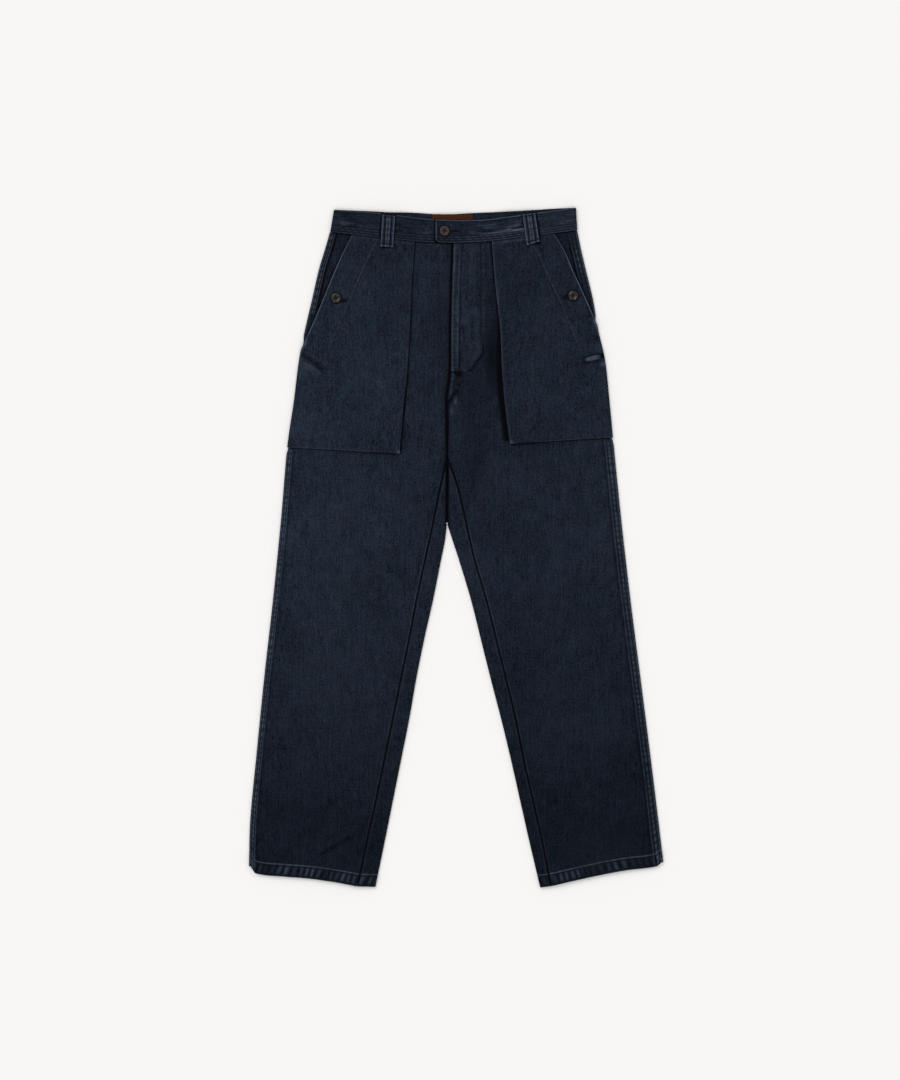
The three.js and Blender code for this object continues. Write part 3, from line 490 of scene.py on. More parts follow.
# Buttonholes: middle and length of the slit, and its turn from +X in degrees
BUTTONHOLES = {
    "waist": {"x": -2, "y": 504.8, "turn": -8, "length": 15},
    "left": {"x": 176, "y": 400, "turn": 5, "length": 13},
    "right": {"x": -181.4, "y": 394.6, "turn": -18, "length": 13},
}

# Tacks at the foot of the fly
FLY_TACKS = (
    {"x": 3, "y": 284, "turn": 0, "length": 13, "width": 3.6},
    {"x": -12, "y": 240, "turn": 65, "length": 10, "width": 3},
)

# How far the buttons lie from the middles of their solids, along Y
BUTTON_SHIFT = {"waist": -1.8}

# Camera: straight above, its frame 1440 mm by 1728 mm on the floor
MM_PER_PIXEL = 1.6
FRAME_MIDDLE = (-10.4, 12)
FRAME_HEIGHT = 1080 * MM_PER_PIXEL
CAMERA_HEIGHT = 4000
SENSOR = 36

# Floor: from its middle to its edges, and how far it lies under the cloth
FLOOR_REACH = 9000.0
FLOOR_GAP = 0.2


def mix(a, b, t):
    return a + (b - a) * t


def ease(t):
    """Rises smoothly from 0 to 1 as t does."""
    share = np.clip(t, 0, 1)
    return share * share * (3 - 2 * share)


def curve(rows, key, column):
    """A smooth curve through a table's rows, straight beyond both ends."""
    order = rows[key].argsort()
    at, value = rows[key][order], rows[column][order]
    last = len(at) - 1
    before, after = np.maximum(np.arange(last + 1) - 1, 0), np.minimum(np.arange(last + 1) + 1, last)
    slope = (value[after] - value[before]) / (at[after] - at[before])

    def smooth(x):
        x = np.asarray(x, float)
        i = np.clip(np.searchsorted(at, x, side="right") - 1, 0, last - 1)
        width = at[i + 1] - at[i]
        t = np.clip((x - at[i]) / width, 0, 1)
        bend = (1 - t) * slope[i] - t * slope[i + 1]
        inside = mix(value[i], value[i + 1], ease(t)) + t * (1 - t) * bend * width
        return inside + slope[0] * np.minimum(x - at[0], 0) + slope[last] * np.maximum(x - at[last], 0)

    return smooth


def pair(rows, key):
    return {side.name: curve(rows, key, side.name) for side in SIDES}


outline = pair(OUTLINE, "y")
inner = pair(INNER, "y")
inseam = pair(INSEAM, "y")
hem_drop = pair(HEM_DROP, "share")
pocket_inner = pair(POCKET_INNER, "y")
slant = pair(SLANT, "y")
bulge_at_edge = pair(BULGE, "y")
beside_pocket = pair(BESIDE_POCKET, "y")
middle_back = curve(MIDDLE, "y", "back")
middle_front = curve(MIDDLE, "y", "front")
band_top = curve(BAND_EDGES, "x", "top")
band_bottom = curve(BAND_EDGES, "x", "bottom")
band_back_top = curve(BAND_EDGES, "x", "back_top")
thigh_ridge = curve(THIGH_RIDGE, "y", "height")


def band_back_bottom(side, x):
    end = side.sign * side.band_end
    return band_bottom(end) + band_back_top(x) - band_back_top(end)


def crease_height(creases, x, y):
    total = np.zeros(np.broadcast(x, y).shape)
    for crease in creases.each():
        dx, dy = crease["x1"] - crease["x0"], crease["y1"] - crease["y0"]
        length = math.hypot(dx, dy)
        along = ((x - crease["x0"]) * dx + (y - crease["y0"]) * dy) / length**2
        across = np.abs((x - crease["x0"]) * dy - (y - crease["y0"]) * dx) / length
        ends = ease(1.15 - np.abs(2 * along - 1) * 1.15)
        total = total + crease["height"] * ends * (1 - ease(2 * across / crease["width"]))
    return total


def loop_lift(x, y):
    """What lies over a back belt loop is lifted by it."""
    lift = 0
    for loop_x in BACK_LOOPS.values():
        beside = np.abs(x - loop_x) - LOOP_WIDTH / 2 - LOOP_PLATEAU
        below = band_back_top(x) - BAND_HEIGHT - LOOP_BELOW_BAND - LOOP_PLATEAU - y
        off = np.hypot(np.maximum(beside, 0), np.maximum(below, 0))
        lift = np.maximum(lift, 1 - ease(off / LOOP_RAMP))
    return LOOP_LIFT * lift


def inner_line(side, y):
    """The edge that the leg turns over on its inner side; above the split it is the middle seam."""
    return np.where(y > SPLIT, side.sign * middle_back(y), inner[side.name](y))


def front_height(side, w, y):
    """Middle of the front cloth above the table."""
    x = side.sign * w
    from_inner = np.abs(w - inner_line(side, y))
    valley = ease((FLY_FOOT - y) / (FLY_FOOT - SPLIT))
    crown = CROWN * ease((outline[side.name](y) - w) / CROWN_RAMP)
    near = (y < FLY_FOOT) & (y > THIGH_RIDGE["y"][-1])
    ridge = np.where(near, np.maximum(thigh_ridge(y), 0), 0)
    climb = np.maximum(from_inner - VALLEY_LEDGE, 0)
    puff = ridge * ease(climb / RIDGE_CLIMB) * (1 - ease((climb - RIDGE_CLIMB) / RIDGE_FALL))
    rise = crown * mix(1, ease(climb / VALLEY_RAMP), valley)
    return FRONT_REST + rise + puff + crease_height(CREASES, x, y) + loop_lift(x, y)


def outside_fly(x, y):
    """How far a point lies outside the shape that the fly's curved stitching encloses."""
    radius = FLY_CORNER["radius"]
    dx = x - FLY_CORNER["x"] + radius
    dy = FLY_CORNER["y"] + radius - y
    corner = np.hypot(np.maximum(dx, 0), np.maximum(dy, 0))
    rounded = corner + np.minimum(np.maximum(dx, dy), 0) - radius
    turn = math.radians(FLY_SLOPE["turn"])
    sloped = (x - FLY_SLOPE["x"]) * math.cos(turn) + (y - FLY_SLOPE["y"]) * math.sin(turn)
    return np.maximum(rounded, sloped)


def lap_share(x):
    """Share of the waistband's lap at x: 1 under the tab, 0 past it."""
    return 1 - ease((x - LAP_START) / LAP_RAMP)


def fly_lift(x, y):
    """The wearer's left front laps over the fly shield, and rises to the waistband's tab."""
    fly = LAYER * (1 - ease(outside_fly(x, y) / FLY_CORNER["ramp"]))
    tuck = LAP_TUCK * lap_share(x) * (1 - ease((band_bottom(x) - y) / TUCK_RAMP))
    rise = ease((y - FLY_FOOT) / SEAM_LAP["ramp_up"])
    seam = SEAM_LAP["height"] * rise * (1 - ease((x - middle_front(y)) / SEAM_LAP["width"]))
    return np.maximum(fly, seam) + tuck


def band_height(side, w, y):
    """Middle of the waistband's front half above the table."""
    crown = BAND_CROWN * ease((side.band_end - w) / CROWN_RAMP)
    lap = (BAND + GAP) * lap_share(w) if side is LEFT else 0
    return BAND_REST + crown + lap + loop_lift(side.sign * w, y)


def beside_bar(x, y):
    """Distances past the bar's end and past its side, less than 0 inside."""
    along = np.abs(x - BAR["x"]) - BAR["length"] / 2
    across = np.abs(y - BAR["y"] - BAR["slope"] * (x - BAR["x"])) - BAR["height"] / 2
    return along, across


def bar_height(x, y):
    """The puffed bar between two tacks at the foot of the slanted opening."""
    along, across = beside_bar(x, y)
    return BAR["rise"] * (1 - ease(along / BAR["soft"])) * (1 - ease(across / BAR["soft"]))


def pocket_height(side, w, y):
    """Middle of the pocket cloth above the table, without its rolled edges."""
    x = side.sign * w
    bar = bar_height(x, y) if side is LEFT else 0
    return front_height(side, w, y) + POCKET_LAYER + crease_height(POCKET_CREASES, x, y) + bar


def bulge(side, w, y):
    reach = 1 - ease((w - pocket_inner[side.name](y)) / BULGE_REACH)
    return bulge_at_edge[side.name](y) * reach


# Uneven marks along lines and over areas


def bell(distance, width):
    return np.exp(-((distance / width) ** 2))


def wobble(s, pitch, seed):
    """A smooth seeded wave of -1 to 1 along s."""
    values = np.random.default_rng(seed).uniform(-1, 1, 1024)
    at = np.asarray(s, float) / pitch + 512
    i = np.floor(at).astype(int)
    return mix(values[i % 1024], values[(i + 1) % 1024], ease(at - i))


def clouds(x, y, across, along, seed):
    """Smooth seeded patches of -1 to 1, across by along in size."""
    values = np.random.default_rng(seed).uniform(-1, 1, (256, 256))
    u, v = x / across + 128, y / along + 128
    i, j = np.floor(u).astype(int), np.floor(v).astype(int)
    rows = [mix(values[i % 256, k % 256], values[(i + 1) % 256, k % 256], ease(u - i)) for k in (j, j + 1)]
    return mix(rows[0], rows[1], ease(v - j))


def uneven(s, pitch, seed, by=0.15):
    """Comes and goes a little along s: at most 1."""
    return 1 - by + by * wobble(s, pitch, seed)


def puckers(s, pitch, seed):
    """Small swells along a seam, uneven in spacing and size: 0 to 1."""
    phase = s / pitch + 0.6 * wobble(s, 3.1 * pitch, seed)
    size = uneven(s, 2.3 * pitch, seed + 1, 0.3)
    return size * (0.5 + 0.5 * np.cos(2 * math.pi * phase))


def button_place(name):
    low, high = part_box(f"button_{name}")
    return (low[0] + high[0]) / 2 / MM, (low[1] + high[1]) / 2 / MM + BUTTON_SHIFT.get(name, 0)


def off_button(name, x, y):
    centre = button_place(name)
    return np.hypot(x - centre[0], y - centre[1])


def core(distance, width, soft):
    """1 within width of a line, falling to 0 over the distance soft beyond it."""
    return 1 - ease((np.abs(distance) - width) / soft)


def off_line(line, x, y):
    """Distances along and across a line, from its start."""
    dx, dy = x - line["x"], y - line["y"]
    run_x, run_y = line["run"]
    return dx * run_x + dy * run_y, dy * run_x - dx * run_y


class Look:
    """What a skin gains at each of its points: height, wear with a few painted highlights, and painted shade.
    """

    def __init__(self):
        self.rise, self.wear, self.shade = 0, 0, 0

    def add(self, wear=0, shade=0, rise=0):
        self.wear = self.wear + wear
        self.shade = self.shade + shade
        self.rise = self.rise + rise

    def marks(self, table, off, swell, steady=1, share=1):
        """A table's marks at the distances off an edge, with swells along it."""
        for mark in table.each():
            here = bell(off - mark["off"], mark["width"]) * share
            self.add(wear=here * (mark["wear"] * steady + mark["swell"] * swell), shade=here * mark["shade"])

    def spots(self, table, x, y):
        for spot in table.each():
            here = bell(x - spot["x"], spot["wide"]) * bell(y - spot["y"], spot["tall"])
            self.add(wear=spot["wear"] * here, shade=spot["shade"] * here)


# Rows and columns of the fine grids


def even(a, b, size):
    """Places from a to b, both in, about size apart."""
    return np.linspace(a, b, max(2, round(abs(b - a) / size) + 1))


def graded(reach, fine, coarse):
    """Distances from 0 to reach, fine apart at first and coarse at the end."""
    count = max(2, round(2 * reach / (fine + coarse)))
    share = np.arange(count + 1) / count
    start = fine * count / reach
    return reach * (start * share + (1 - start) * share**2)


def joined(*parts):
    """Places in falling order, with near repeats dropped."""
    places = -np.sort(-np.concatenate(parts))
    keep = np.concatenate([[True], -np.diff(places) > 0.05])
    return places[keep]


class Grid:
    """Points in the middle of a wall, with what the outside gains there, its wear and painted highlights, and
    its painted shade.
    """

    def __init__(self, x, y, z, extra=0, wear=0, shade=0):
        shape = np.broadcast(x, y, z).shape
        fields = (x, y, z, extra, wear, shade)
        self.points = np.stack([np.broadcast_to(field, shape) for field in fields], -1).astype(float)


def unit(vectors):
    return vectors / np.maximum(np.linalg.norm(vectors, axis=1, keepdims=True), 1e-12)


def wall(name, grids, thickness):
    """A mesh of closed walls: an outer and an inner skin round the grids, joined where they share points."""
    rows, quads, count = [], [], 0
    for grid in grids:
        r, c = grid.points.shape[:2]
        ids = np.arange(r * c).reshape(r, c) + count
        corners = (ids[:-1, :-1], ids[:-1, 1:], ids[1:, 1:], ids[1:, :-1])
        quads.append(np.stack(corners, -1).reshape(-1, 4))
        rows.append(grid.points.reshape(-1, 6))
        count += r * c
    rows, quads = np.concatenate(rows), np.concatenate(quads)
    keys = np.round(rows[:, :3], 3)
    _, first, number = np.unique(keys, axis=0, return_index=True, return_inverse=True)
    rows, quads = rows[first], number.reshape(-1)[quads]
    points = rows[:, :3]

    def face_normals(faces):
        a, b, c, d = (points[faces[:, corner]] for corner in range(4))
        return unit(np.cross(c - a, d - b))

    if face_normals(quads[:1])[0, 2] < 0:
        quads = quads[:, ::-1]
    normals = np.zeros_like(points)
    facing = face_normals(quads)
    for corner in range(4):
        np.add.at(normals, quads[:, corner], facing)
    normals = unit(normals)

    size = len(points)
    outer = points + normals * (thickness / 2 + rows[:, 3:4])
    inside = points - normals * (thickness / 2)
    edges = np.concatenate([quads[:, [0, 1]], quads[:, [1, 2]], quads[:, [2, 3]], quads[:, [3, 0]]])
    codes = edges[:, 0] * size + edges[:, 1]
    back = edges[:, 1] * size + edges[:, 0]
    border = edges[~np.isin(codes, back)]
    sides = np.stack([border[:, 1], border[:, 0], border[:, 0] + size, border[:, 1] + size], -1)
    faces = np.concatenate([quads, quads[:, ::-1] + size, sides])
    # The outer skin carries the wear, painted highlights and painted shade; the inner one 0.3 of the wear and
    # highlights, and all the shade
    paint = np.concatenate([rows[:, 4:], rows[:, 4:] * [0.3, 1]])
    colours = {"wear": paint[:, 0], "shade": paint[:, 1]}
    return mesh_object(name, np.concatenate([outer, inside]), faces, colours)


def mesh_object(name, points, faces, paint=None):
    """A smooth-shaded object from points in millimetres and faces with equal numbers of corners."""
    mesh = bpy.data.meshes.new(name)
    corners = faces.shape[1]
    mesh.vertices.add(len(points))
    mesh.vertices.foreach_set("co", (points * MM).astype(np.float32).ravel())
    mesh.loops.add(faces.size)
    mesh.loops.foreach_set("vertex_index", faces.astype(np.int32).ravel())
    mesh.polygons.add(len(faces))
    mesh.polygons.foreach_set("loop_start", np.arange(0, faces.size, corners, dtype=np.int32))
    mesh.update(calc_edges=True)
    mesh.validate()
    mesh.shade_smooth()
    for key, values in (paint or {}).items():
        attribute = mesh.attributes.new(key, "FLOAT", "POINT")
        attribute.data.foreach_set("value", np.clip(values, 0, 1).astype(np.float32))
    item = bpy.data.objects.new(name, mesh)
    bpy.context.scene.collection.objects.link(item)
    return item


def hem_extra(side, v):
    return HEM_EXTRA * (1 - ease((v - side.hem - HEM_TURN) / HEM_STEP))


def hem_look(look, side, v, s):
    """Roping: slanted swells between the hem's fold and its stitching, uneven in width; painted shade between
    them.
    """
    h = v - side.hem
    slanted = s + ROPING["lean"] * h + ROPING["waver"] * wobble(s, 23, 45)
    swell = puckers(slanted, ROPING["pitch"], 40 + side.sign)
    size = uneven(s, 13, 46 + side.sign, 0.4)
    inside = ease((h - 2) / 4) * ease((18 - h) / 4)
    in_hem = 1 - ease((h - 19.5) / 5)
    look.marks(HEM_MARKS, h, swell, uneven(s, 9, 44), in_hem)
    look.add(wear=ROPING["wear"] * size * swell**2 * inside)
    look.add(shade=ROPING["shade"] * (1 - swell) ** 3 * inside)
    look.add(rise=ROPING["rise"] * size * (swell - 0.5) * inside)


def hem_lean(side, v, share):
    near = 1 - ease((v - side.hem - HEM_TURN - HEM_STEP) / HEM_FOLLOW)
    return -near * hem_drop[side.name](share)


def waist_follow(side, v, x, edge):
    end = side.sign * side.band_end
    top = band_bottom(end) - GAP
    return (edge(x) - edge(end)) * (1 - ease((top - v) / WAIST_FOLLOW))


def fold_outline(side, y):
    caught = ease((side.slant_end + 18 - y) / 12) * ease((y - side.foot + 11) / 10)
    return outline[side.name](y) - POCKET_WRAP_INSET * caught


def seam_row(side, v):
    raised = np.where(v > SPLIT, 0, (CROTCH - SPLIT) * (1 - ease((SPLIT - v) / CROTCH_RAMP)))
    return v + raised + hem_lean(side, v, INSEAM_SHARE)


def fell_shows(side, v):
    below = 1 - ease((v - side.foot + 5) / 3)
    above = ease((v - side.slant_end - FELL_COVERED) / 6)
    return np.maximum(below, above)


def front_edge(side, y):
    """Inner edge of a front panel: the fly's edge, the crotch seam, then the inseam."""
    gap = mix(GAP, VALLEY_GAP, ease((FLY_FOOT - y) / 30) * ease((y - CROTCH) / 20))
    seam = side.sign * middle_front(y) + gap / 2
    under = ease((y - FLY_CORNER["y"] - UNDERLAP_ABOVE) / 12) if side is RIGHT else 0
    above = seam - under * (UNDERLAP + GAP / 2)
    return np.where(y <= CROTCH, inseam[side.name](y) + GAP / 2, above)


def front_look(side, v, x, y, w, off, from_inner):
    """The front panel's worn and dark places, with painted shadow in its gaps and beside what lies on it."""
    look = Look()
    look.spots(TONES, x, y)
    side_seam_look(look, side, v, y, off)
    hem_look(look, side, v, w)
    look.rise = look.rise * np.minimum(1, off / 2)
    # A fold near the wearer's right hem: painted shade on its lower, shaded side and a faint painted
    # highlight on its lit upper side
    if side is RIGHT:
        along, across = off_line(HEM_FOLD, x, y)
        fold = ease(along / 12) * ease((HEM_FOLD["length"] - along) / 16)
        look.add(shade=0.6 * fold * bell(across + 1.5, 3.2), wear=0.012 * fold * bell(across - 5, 4))

    # Inseam, and the valley above it: a worn line beside the seam, and painted shade in its gap and down the
    # valley
    in_seam = 1 - ease((y - CROTCH + 20) / 20)
    rubbed = 0.1 + 0.14 * bell(y + 40, 130) + 0.08 * wobble(y, 12, 15 + side.sign)
    look.add(wear=in_seam * rubbed * bell(from_inner - 2, 0.9))
    look.add(shade=in_seam * 0.95 * core(from_inner, 0.9, 0.8))
    valley = ease((y - 30) / 20) * (1 - ease((y - FLY_FOOT) / 8))
    width = mix(1, 2, ease((y - 150) / 50))
    look.add(shade=valley * (core(from_inner, width, 1.6) + 0.22 * bell(from_inner, 9)))

    beside_pocket_look(look, side, y, w)
    # Painted shadow under the waistband, and beside the feet of the belt loops
    look.add(shade=0.9 * core(band_bottom(x) - y, 1.4, 1.4))
    for loop in FRONT_LOOPS.each():
        beside = np.abs(x - loop["foot_x"]) - LOOP_WIDTH / 2
        look.add(shade=0.7 * bell(beside, 1.3) * ease((y - loop["foot_y"] + 4) / 3))
    if side is LEFT:
        fly_look(look, x, y, from_inner)
    else:
        # Painted shadow where the fly's edge laps over this front
        under = middle_front(y) - x
        look.add(shade=ease((y - FLY_FOOT) / 6) * (core(under, 2.8, 2) + 0.25 * bell(under - 4, 6)))
    return look


def side_seam_look(look, side, v, y, off):
    """The felled side seam, where it shows: stronger at the hip."""
    at_hip = ease((y - side.slant_end) / 20)
    share = fell_shows(side, v) * mix(1, 1.4 if side is LEFT else 1.9, at_hip)
    if side is LEFT:
        low = ease((y - WORN_FELL["low"]) / WORN_FELL["low_soft"])
        high = ease((WORN_FELL["high"] - y) / WORN_FELL["high_soft"])
        share = share * mix(1, mix(WORN_FELL["elsewhere"], 1, low * high), at_hip)
    steady = uneven(v, 15, 13, 0.2)
    look.marks(FELL_MARKS[side.name], off, puckers(v, 9, 11 + side.sign), steady, share)


def beside_pocket_look(look, side, y, w):
    """Painted shadow beside and below a pocket and outside its slanted edge, where the hip is also a little
    darker all over.
    """
    edge = pocket_inner[side.name]
    beside = edge(y) - w
    above_foot = ease((y - side.pocket_foot - 2) / 3)
    width = beside_pocket[side.name](y)
    reach = ease((452 - y) / 110) * ease((y - 205) / 60)
    far = 0.5 * bell(beside, 26) * reach if side is LEFT else 0.14 * bell(beside, 8)
    shadow = 0.97 * core(beside, width, 1.4 + 0.5 * width) + far
    look.add(shade=above_foot * ease((beside + 6) / 3) * shadow)
    past_corner = w - edge(side.pocket_foot)
    below = mix(side.pocket_foot, side.foot, past_corner / 155) - y
    under_pocket = ease((past_corner + 1) / 3) * ease((below + 5) / 3)
    look.add(shade=under_pocket * (0.85 * core(below, 1, 2) + 0.2 * bell(below, 6)))
    hip = ease((y - side.slant_end + 4) / 10)
    outside = w - slant[side.name](y)
    look.add(shade=hip * ease((outside + 5) / 3) * (0.34 + 0.66 * core(outside, 1.4, 2.8)))


def fly_look(look, x, y, from_inner):
    """The buttoned fly: its edge, its curved stitching and the crotch seam under it."""
    corner_y = FLY_CORNER["y"]
    in_fly = ease((y - corner_y + 4) / 4)
    swell = puckers(y, 7, 21)
    # The edge's marks, with painted shade where the edge rolls under
    look.marks(FLY_MARKS, from_inner, swell, uneven(y, 12, 23), in_fly)
    look.add(rise=0.35 * in_fly * swell * bell(from_inner - 4.6, 3))
    worn = np.maximum(clouds(x, y, 3.2, 7, 22), 0)
    look.add(wear=0.14 * in_fly * worn * core(from_inner - 6, 4, 2))
    look.add(shade=0.5 * in_fly * (1 - swell) ** 2 * bell(from_inner - 6.4, 1.2))
    out = outside_fly(x, y)
    look.add(wear=0.12 * in_fly * np.maximum(clouds(x, y, 8, 14, 24), 0) * (out < 4))
    curved = ease((350 - y) / 45) * ease((x - 14) / 8)
    straight = in_fly * ease((y - 305) / 25)
    look.add(shade=straight * 0.5 * bell(out + 2.4, 0.9))
    look.add(wear=straight * 0.22 * bell(out - 1.2, 1.5) * puckers(y, 8, 25))
    # Dark along the curved stitching, and a faint painted highlight on the fold inside the curve
    look.add(shade=curved * 0.9 * core(out - 0.9, 0.8, 1.6), wear=curved * 0.1 * bell(out + 7, 5))
    # A pale line along the foot of the fly, and painted shadow just under it
    look.add(wear=0.35 * bell(y - corner_y - 1, 1.2) * ease((22 - x) / 6))
    look.add(shade=0.45 * bell(y - corner_y + 2.5, 1.6) * ease((16 - x) / 6))

    # Crotch seam: worn puckers, painted shade in its gap and along the fold beside it, and darker patches
    crotch = ease((y - FLY_FOOT + 2) / 6) * (1 - in_fly)
    patch = 0.5 + 0.5 * clouds(x, y, 4.5, 5, 27)
    rubbed = 0.4 * puckers(y, 8, 28) * bell(from_inner - 3.4, 1.2) + 0.1 * bell(from_inner - 2, 3)
    look.add(wear=crotch * rubbed)
    look.add(shade=crotch * (0.9 * bell(from_inner, 1) + patch * bell(from_inner - 11, 8)))
    look.add(shade=0.9 * bell(off_line(CROTCH_FOLD, x, y)[1], 1.5) * ease((-5 - x) / 3))
    look.spots(SPOTS["fly"], x, y)


def front_grid(side, rows, from_outer, between, from_inner):
    top = band_bottom(side.sign * side.band_end) - GAP
    v = rows[:, None]
    seam_lift = (CROTCH - SPLIT) * ease((top - v) / (top - SPLIT))
    outer_w = fold_outline(side, v) - EDGE_BACK - GAP
    waist_y = v + waist_follow(side, v, side.sign * front_edge(side, v), band_bottom)
    inner_y = np.where(v > SPLIT, waist_y + seam_lift, seam_row(side, v))
    inner_w = front_edge(side, inner_y)
    start, end = outer_w - from_outer[-1], inner_w + from_inner[0]
    w = np.concatenate([outer_w - from_outer, mix(start, end, between), inner_w + from_inner], 1)
    share = (outer_w - w) / (outer_w - inner_w)
    x = side.sign * w
    raised_above = seam_lift * share**2 + waist_follow(side, v, x, band_bottom)
    raised_below = (seam_row(side, v) - hem_lean(side, v, INSEAM_SHARE) - v) * share**2
    y = v + np.where(v > SPLIT, raised_above, raised_below) + hem_lean(side, v, share * INSEAM_SHARE)
    hem = hem_extra(side, v)
    off_edge = outer_w - w
    fell = FELL_EXTRA * fell_shows(side, v) * (1 - ease((off_edge - side.fell) / FELL_STEP))
    lap = np.where(v > SPLIT, fly_lift(x, y), 0) if side is LEFT else 0
    look = front_look(side, v, x, y, w, off_edge, w - inner_w)
    extra = np.maximum(hem, fell) + look.rise
    return Grid(x, y, front_height(side, w, y) + hem + lap, extra, look.wear, look.shade)


def leg_rows(side, size):
    top = band_bottom(side.sign * side.band_end) - GAP
    hem_top = side.hem + HEM_TURN + HEM_STEP
    above, below = even(top - 5.5, SPLIT, size), even(SPLIT, hem_top, size)
    return joined(top - TOP_ROWS, above, below, side.hem + HEM_ROWS)


def front_panel(side):
    field = np.linspace(0, 1, 56)[1:-1]
    grid = front_grid(side, leg_rows(side, FRONT_STEP), OUTER_COLUMNS, field, INNER_COLUMNS)
    return wall(f"front_{side.name}_cloth", [grid], CLOTH)


def in_valley(y):
    """1 in the valley between the thighs, above the place where the legs part."""
    return ease((y - VALLEY_FOOT) / 12)


def outer_fold(side, v, extra, outside, lift):
    """The back panel's lip on the front, and its turn round the outside of the leg."""
    turn = np.radians(np.linspace(90, -90, 11))
    lip_w = fold_outline(side, v) - EDGE_BACK
    lip = np.linspace(0, 1, 4)[:-1]
    w = np.concatenate([mix(lip_w, outside, lip), outside + FOLD_RADIUS * np.cos(turn)], 1)
    rise = np.concatenate([np.ones(len(lip)), np.sin(turn)])
    x = side.sign * w
    follow = [waist_follow(side, v, x, edge) for edge in (band_back_top, band_bottom)]
    y = v + np.where(rise < 0, *follow)
    z = HALF + extra + FOLD_RADIUS * (1 + rise) + lift
    look = Look()
    hem_look(look, side, v, w)
    upper = rise > -0.2
    swell = puckers(v, 9, 11 + side.sign) * fell_shows(side, v)
    look.add(wear=(0.25 + 0.5 * swell) * bell(w - mix(lip_w, outside, 0.35), 1.1))
    return Grid(x, y, z, extra, look.wear * upper, look.shade * upper)


def under_sheet(side, v, extra, outside, inside, lift):
    """What lies on the table, from the outer fold to the inner one."""
    under = np.concatenate([[0.015, 0.05], np.linspace(0.1, 1, 16)])
    shares = np.concatenate([[0], under])
    w = np.concatenate([outside, mix(outside, inside, under)], 1)
    x = side.sign * w
    y = v + hem_lean(side, v, shares) + waist_follow(side, v, x, band_back_top)
    z = HALF + extra + loop_lift(x, y) + crease_height(BACK_CREASES, x, y)
    z[:, :1] = HALF + extra + lift
    y[:, :1] = v + waist_follow(side, v, x[:, :1], band_back_top)
    # Painted shade near the middle seam, down the valley between the thighs
    return Grid(x, y, z, extra, 0, in_valley(y) * core(w - inside, 6, 6))


def inner_strip(side, v, extra, inside, inside_y):
    """The back panel's turn round the inside of the leg, and its strip on the front up to the inseam."""
    turn = np.radians(np.linspace(-90, 90, 11))
    seam_y = np.minimum(seam_row(side, v), CROTCH - STRIP_TIP)
    seam = inseam[side.name](seam_y) - GAP / 2
    shares = np.concatenate([np.linspace(0, 0.86, 12)[1:], [0.92, 0.96, 0.985, 1]])
    flat_w, flat_y = mix(inside, seam, shares), mix(inside_y, seam_y, shares)
    w = np.concatenate([inside - FOLD_RADIUS * np.cos(turn), flat_w], 1)
    y = np.concatenate([inside_y + 0 * turn, flat_y], 1)
    turn_z = HALF + extra + FOLD_RADIUS * (1 + np.sin(turn))
    z = np.concatenate([turn_z, front_height(side, flat_w, flat_y) + extra], 1)
    look = Look()
    hem_look(look, side, v, w)
    # A little darker all over, with painted shade in the inseam's gap and down the valley, and a worn line
    # beside the seam
    to_seam = inseam[side.name](y) - GAP / 2 - w
    from_middle = np.abs(w - inner_line(side, y))
    valley = in_valley(y) * core(from_middle, 2.2, 2)
    look.add(shade=0.06 + 0.95 * core(to_seam, 1.3, 0.9) + valley, wear=0.1 * bell(to_seam - 3, 0.9))
    look.spots(TONES, side.sign * w, y)
    upper = np.concatenate([turn > math.radians(-12), np.ones(len(shares), bool)])
    return Grid(side.sign * w, y, z, extra, look.wear * upper, look.shade * np.maximum(upper, in_valley(y)))


def back_panel(side):
    """Lip on the front, outer fold, under sheet, inner fold and the strip up to the inseam."""
    rows = leg_rows(side, BACK_STEP)
    v = rows[:, None]
    extra = hem_extra(side, v)
    outside = fold_outline(side, v) - HALF - extra - FOLD_RADIUS
    inside_y = v + hem_lean(side, v, 1)
    folded_in = inner[side.name](inside_y) + HALF + extra + FOLD_RADIUS
    inside = np.where(v > SPLIT, side.sign * middle_back(v), folded_in)
    lift = np.where(v > SPLIT, loop_lift(side.sign * outside, v), 0)
    low = rows <= SPLIT
    fold = outer_fold(side, v, extra, outside, lift)
    sheet = under_sheet(side, v, extra, outside, inside, lift)
    strip = inner_strip(side, v[low], extra[low], inside[low], inside_y[low])
    sheet.points[low, -1, :3] = strip.points[:, 0, :3]
    return wall(f"back_{side.name}_cloth", [fold, sheet, strip], CLOTH)


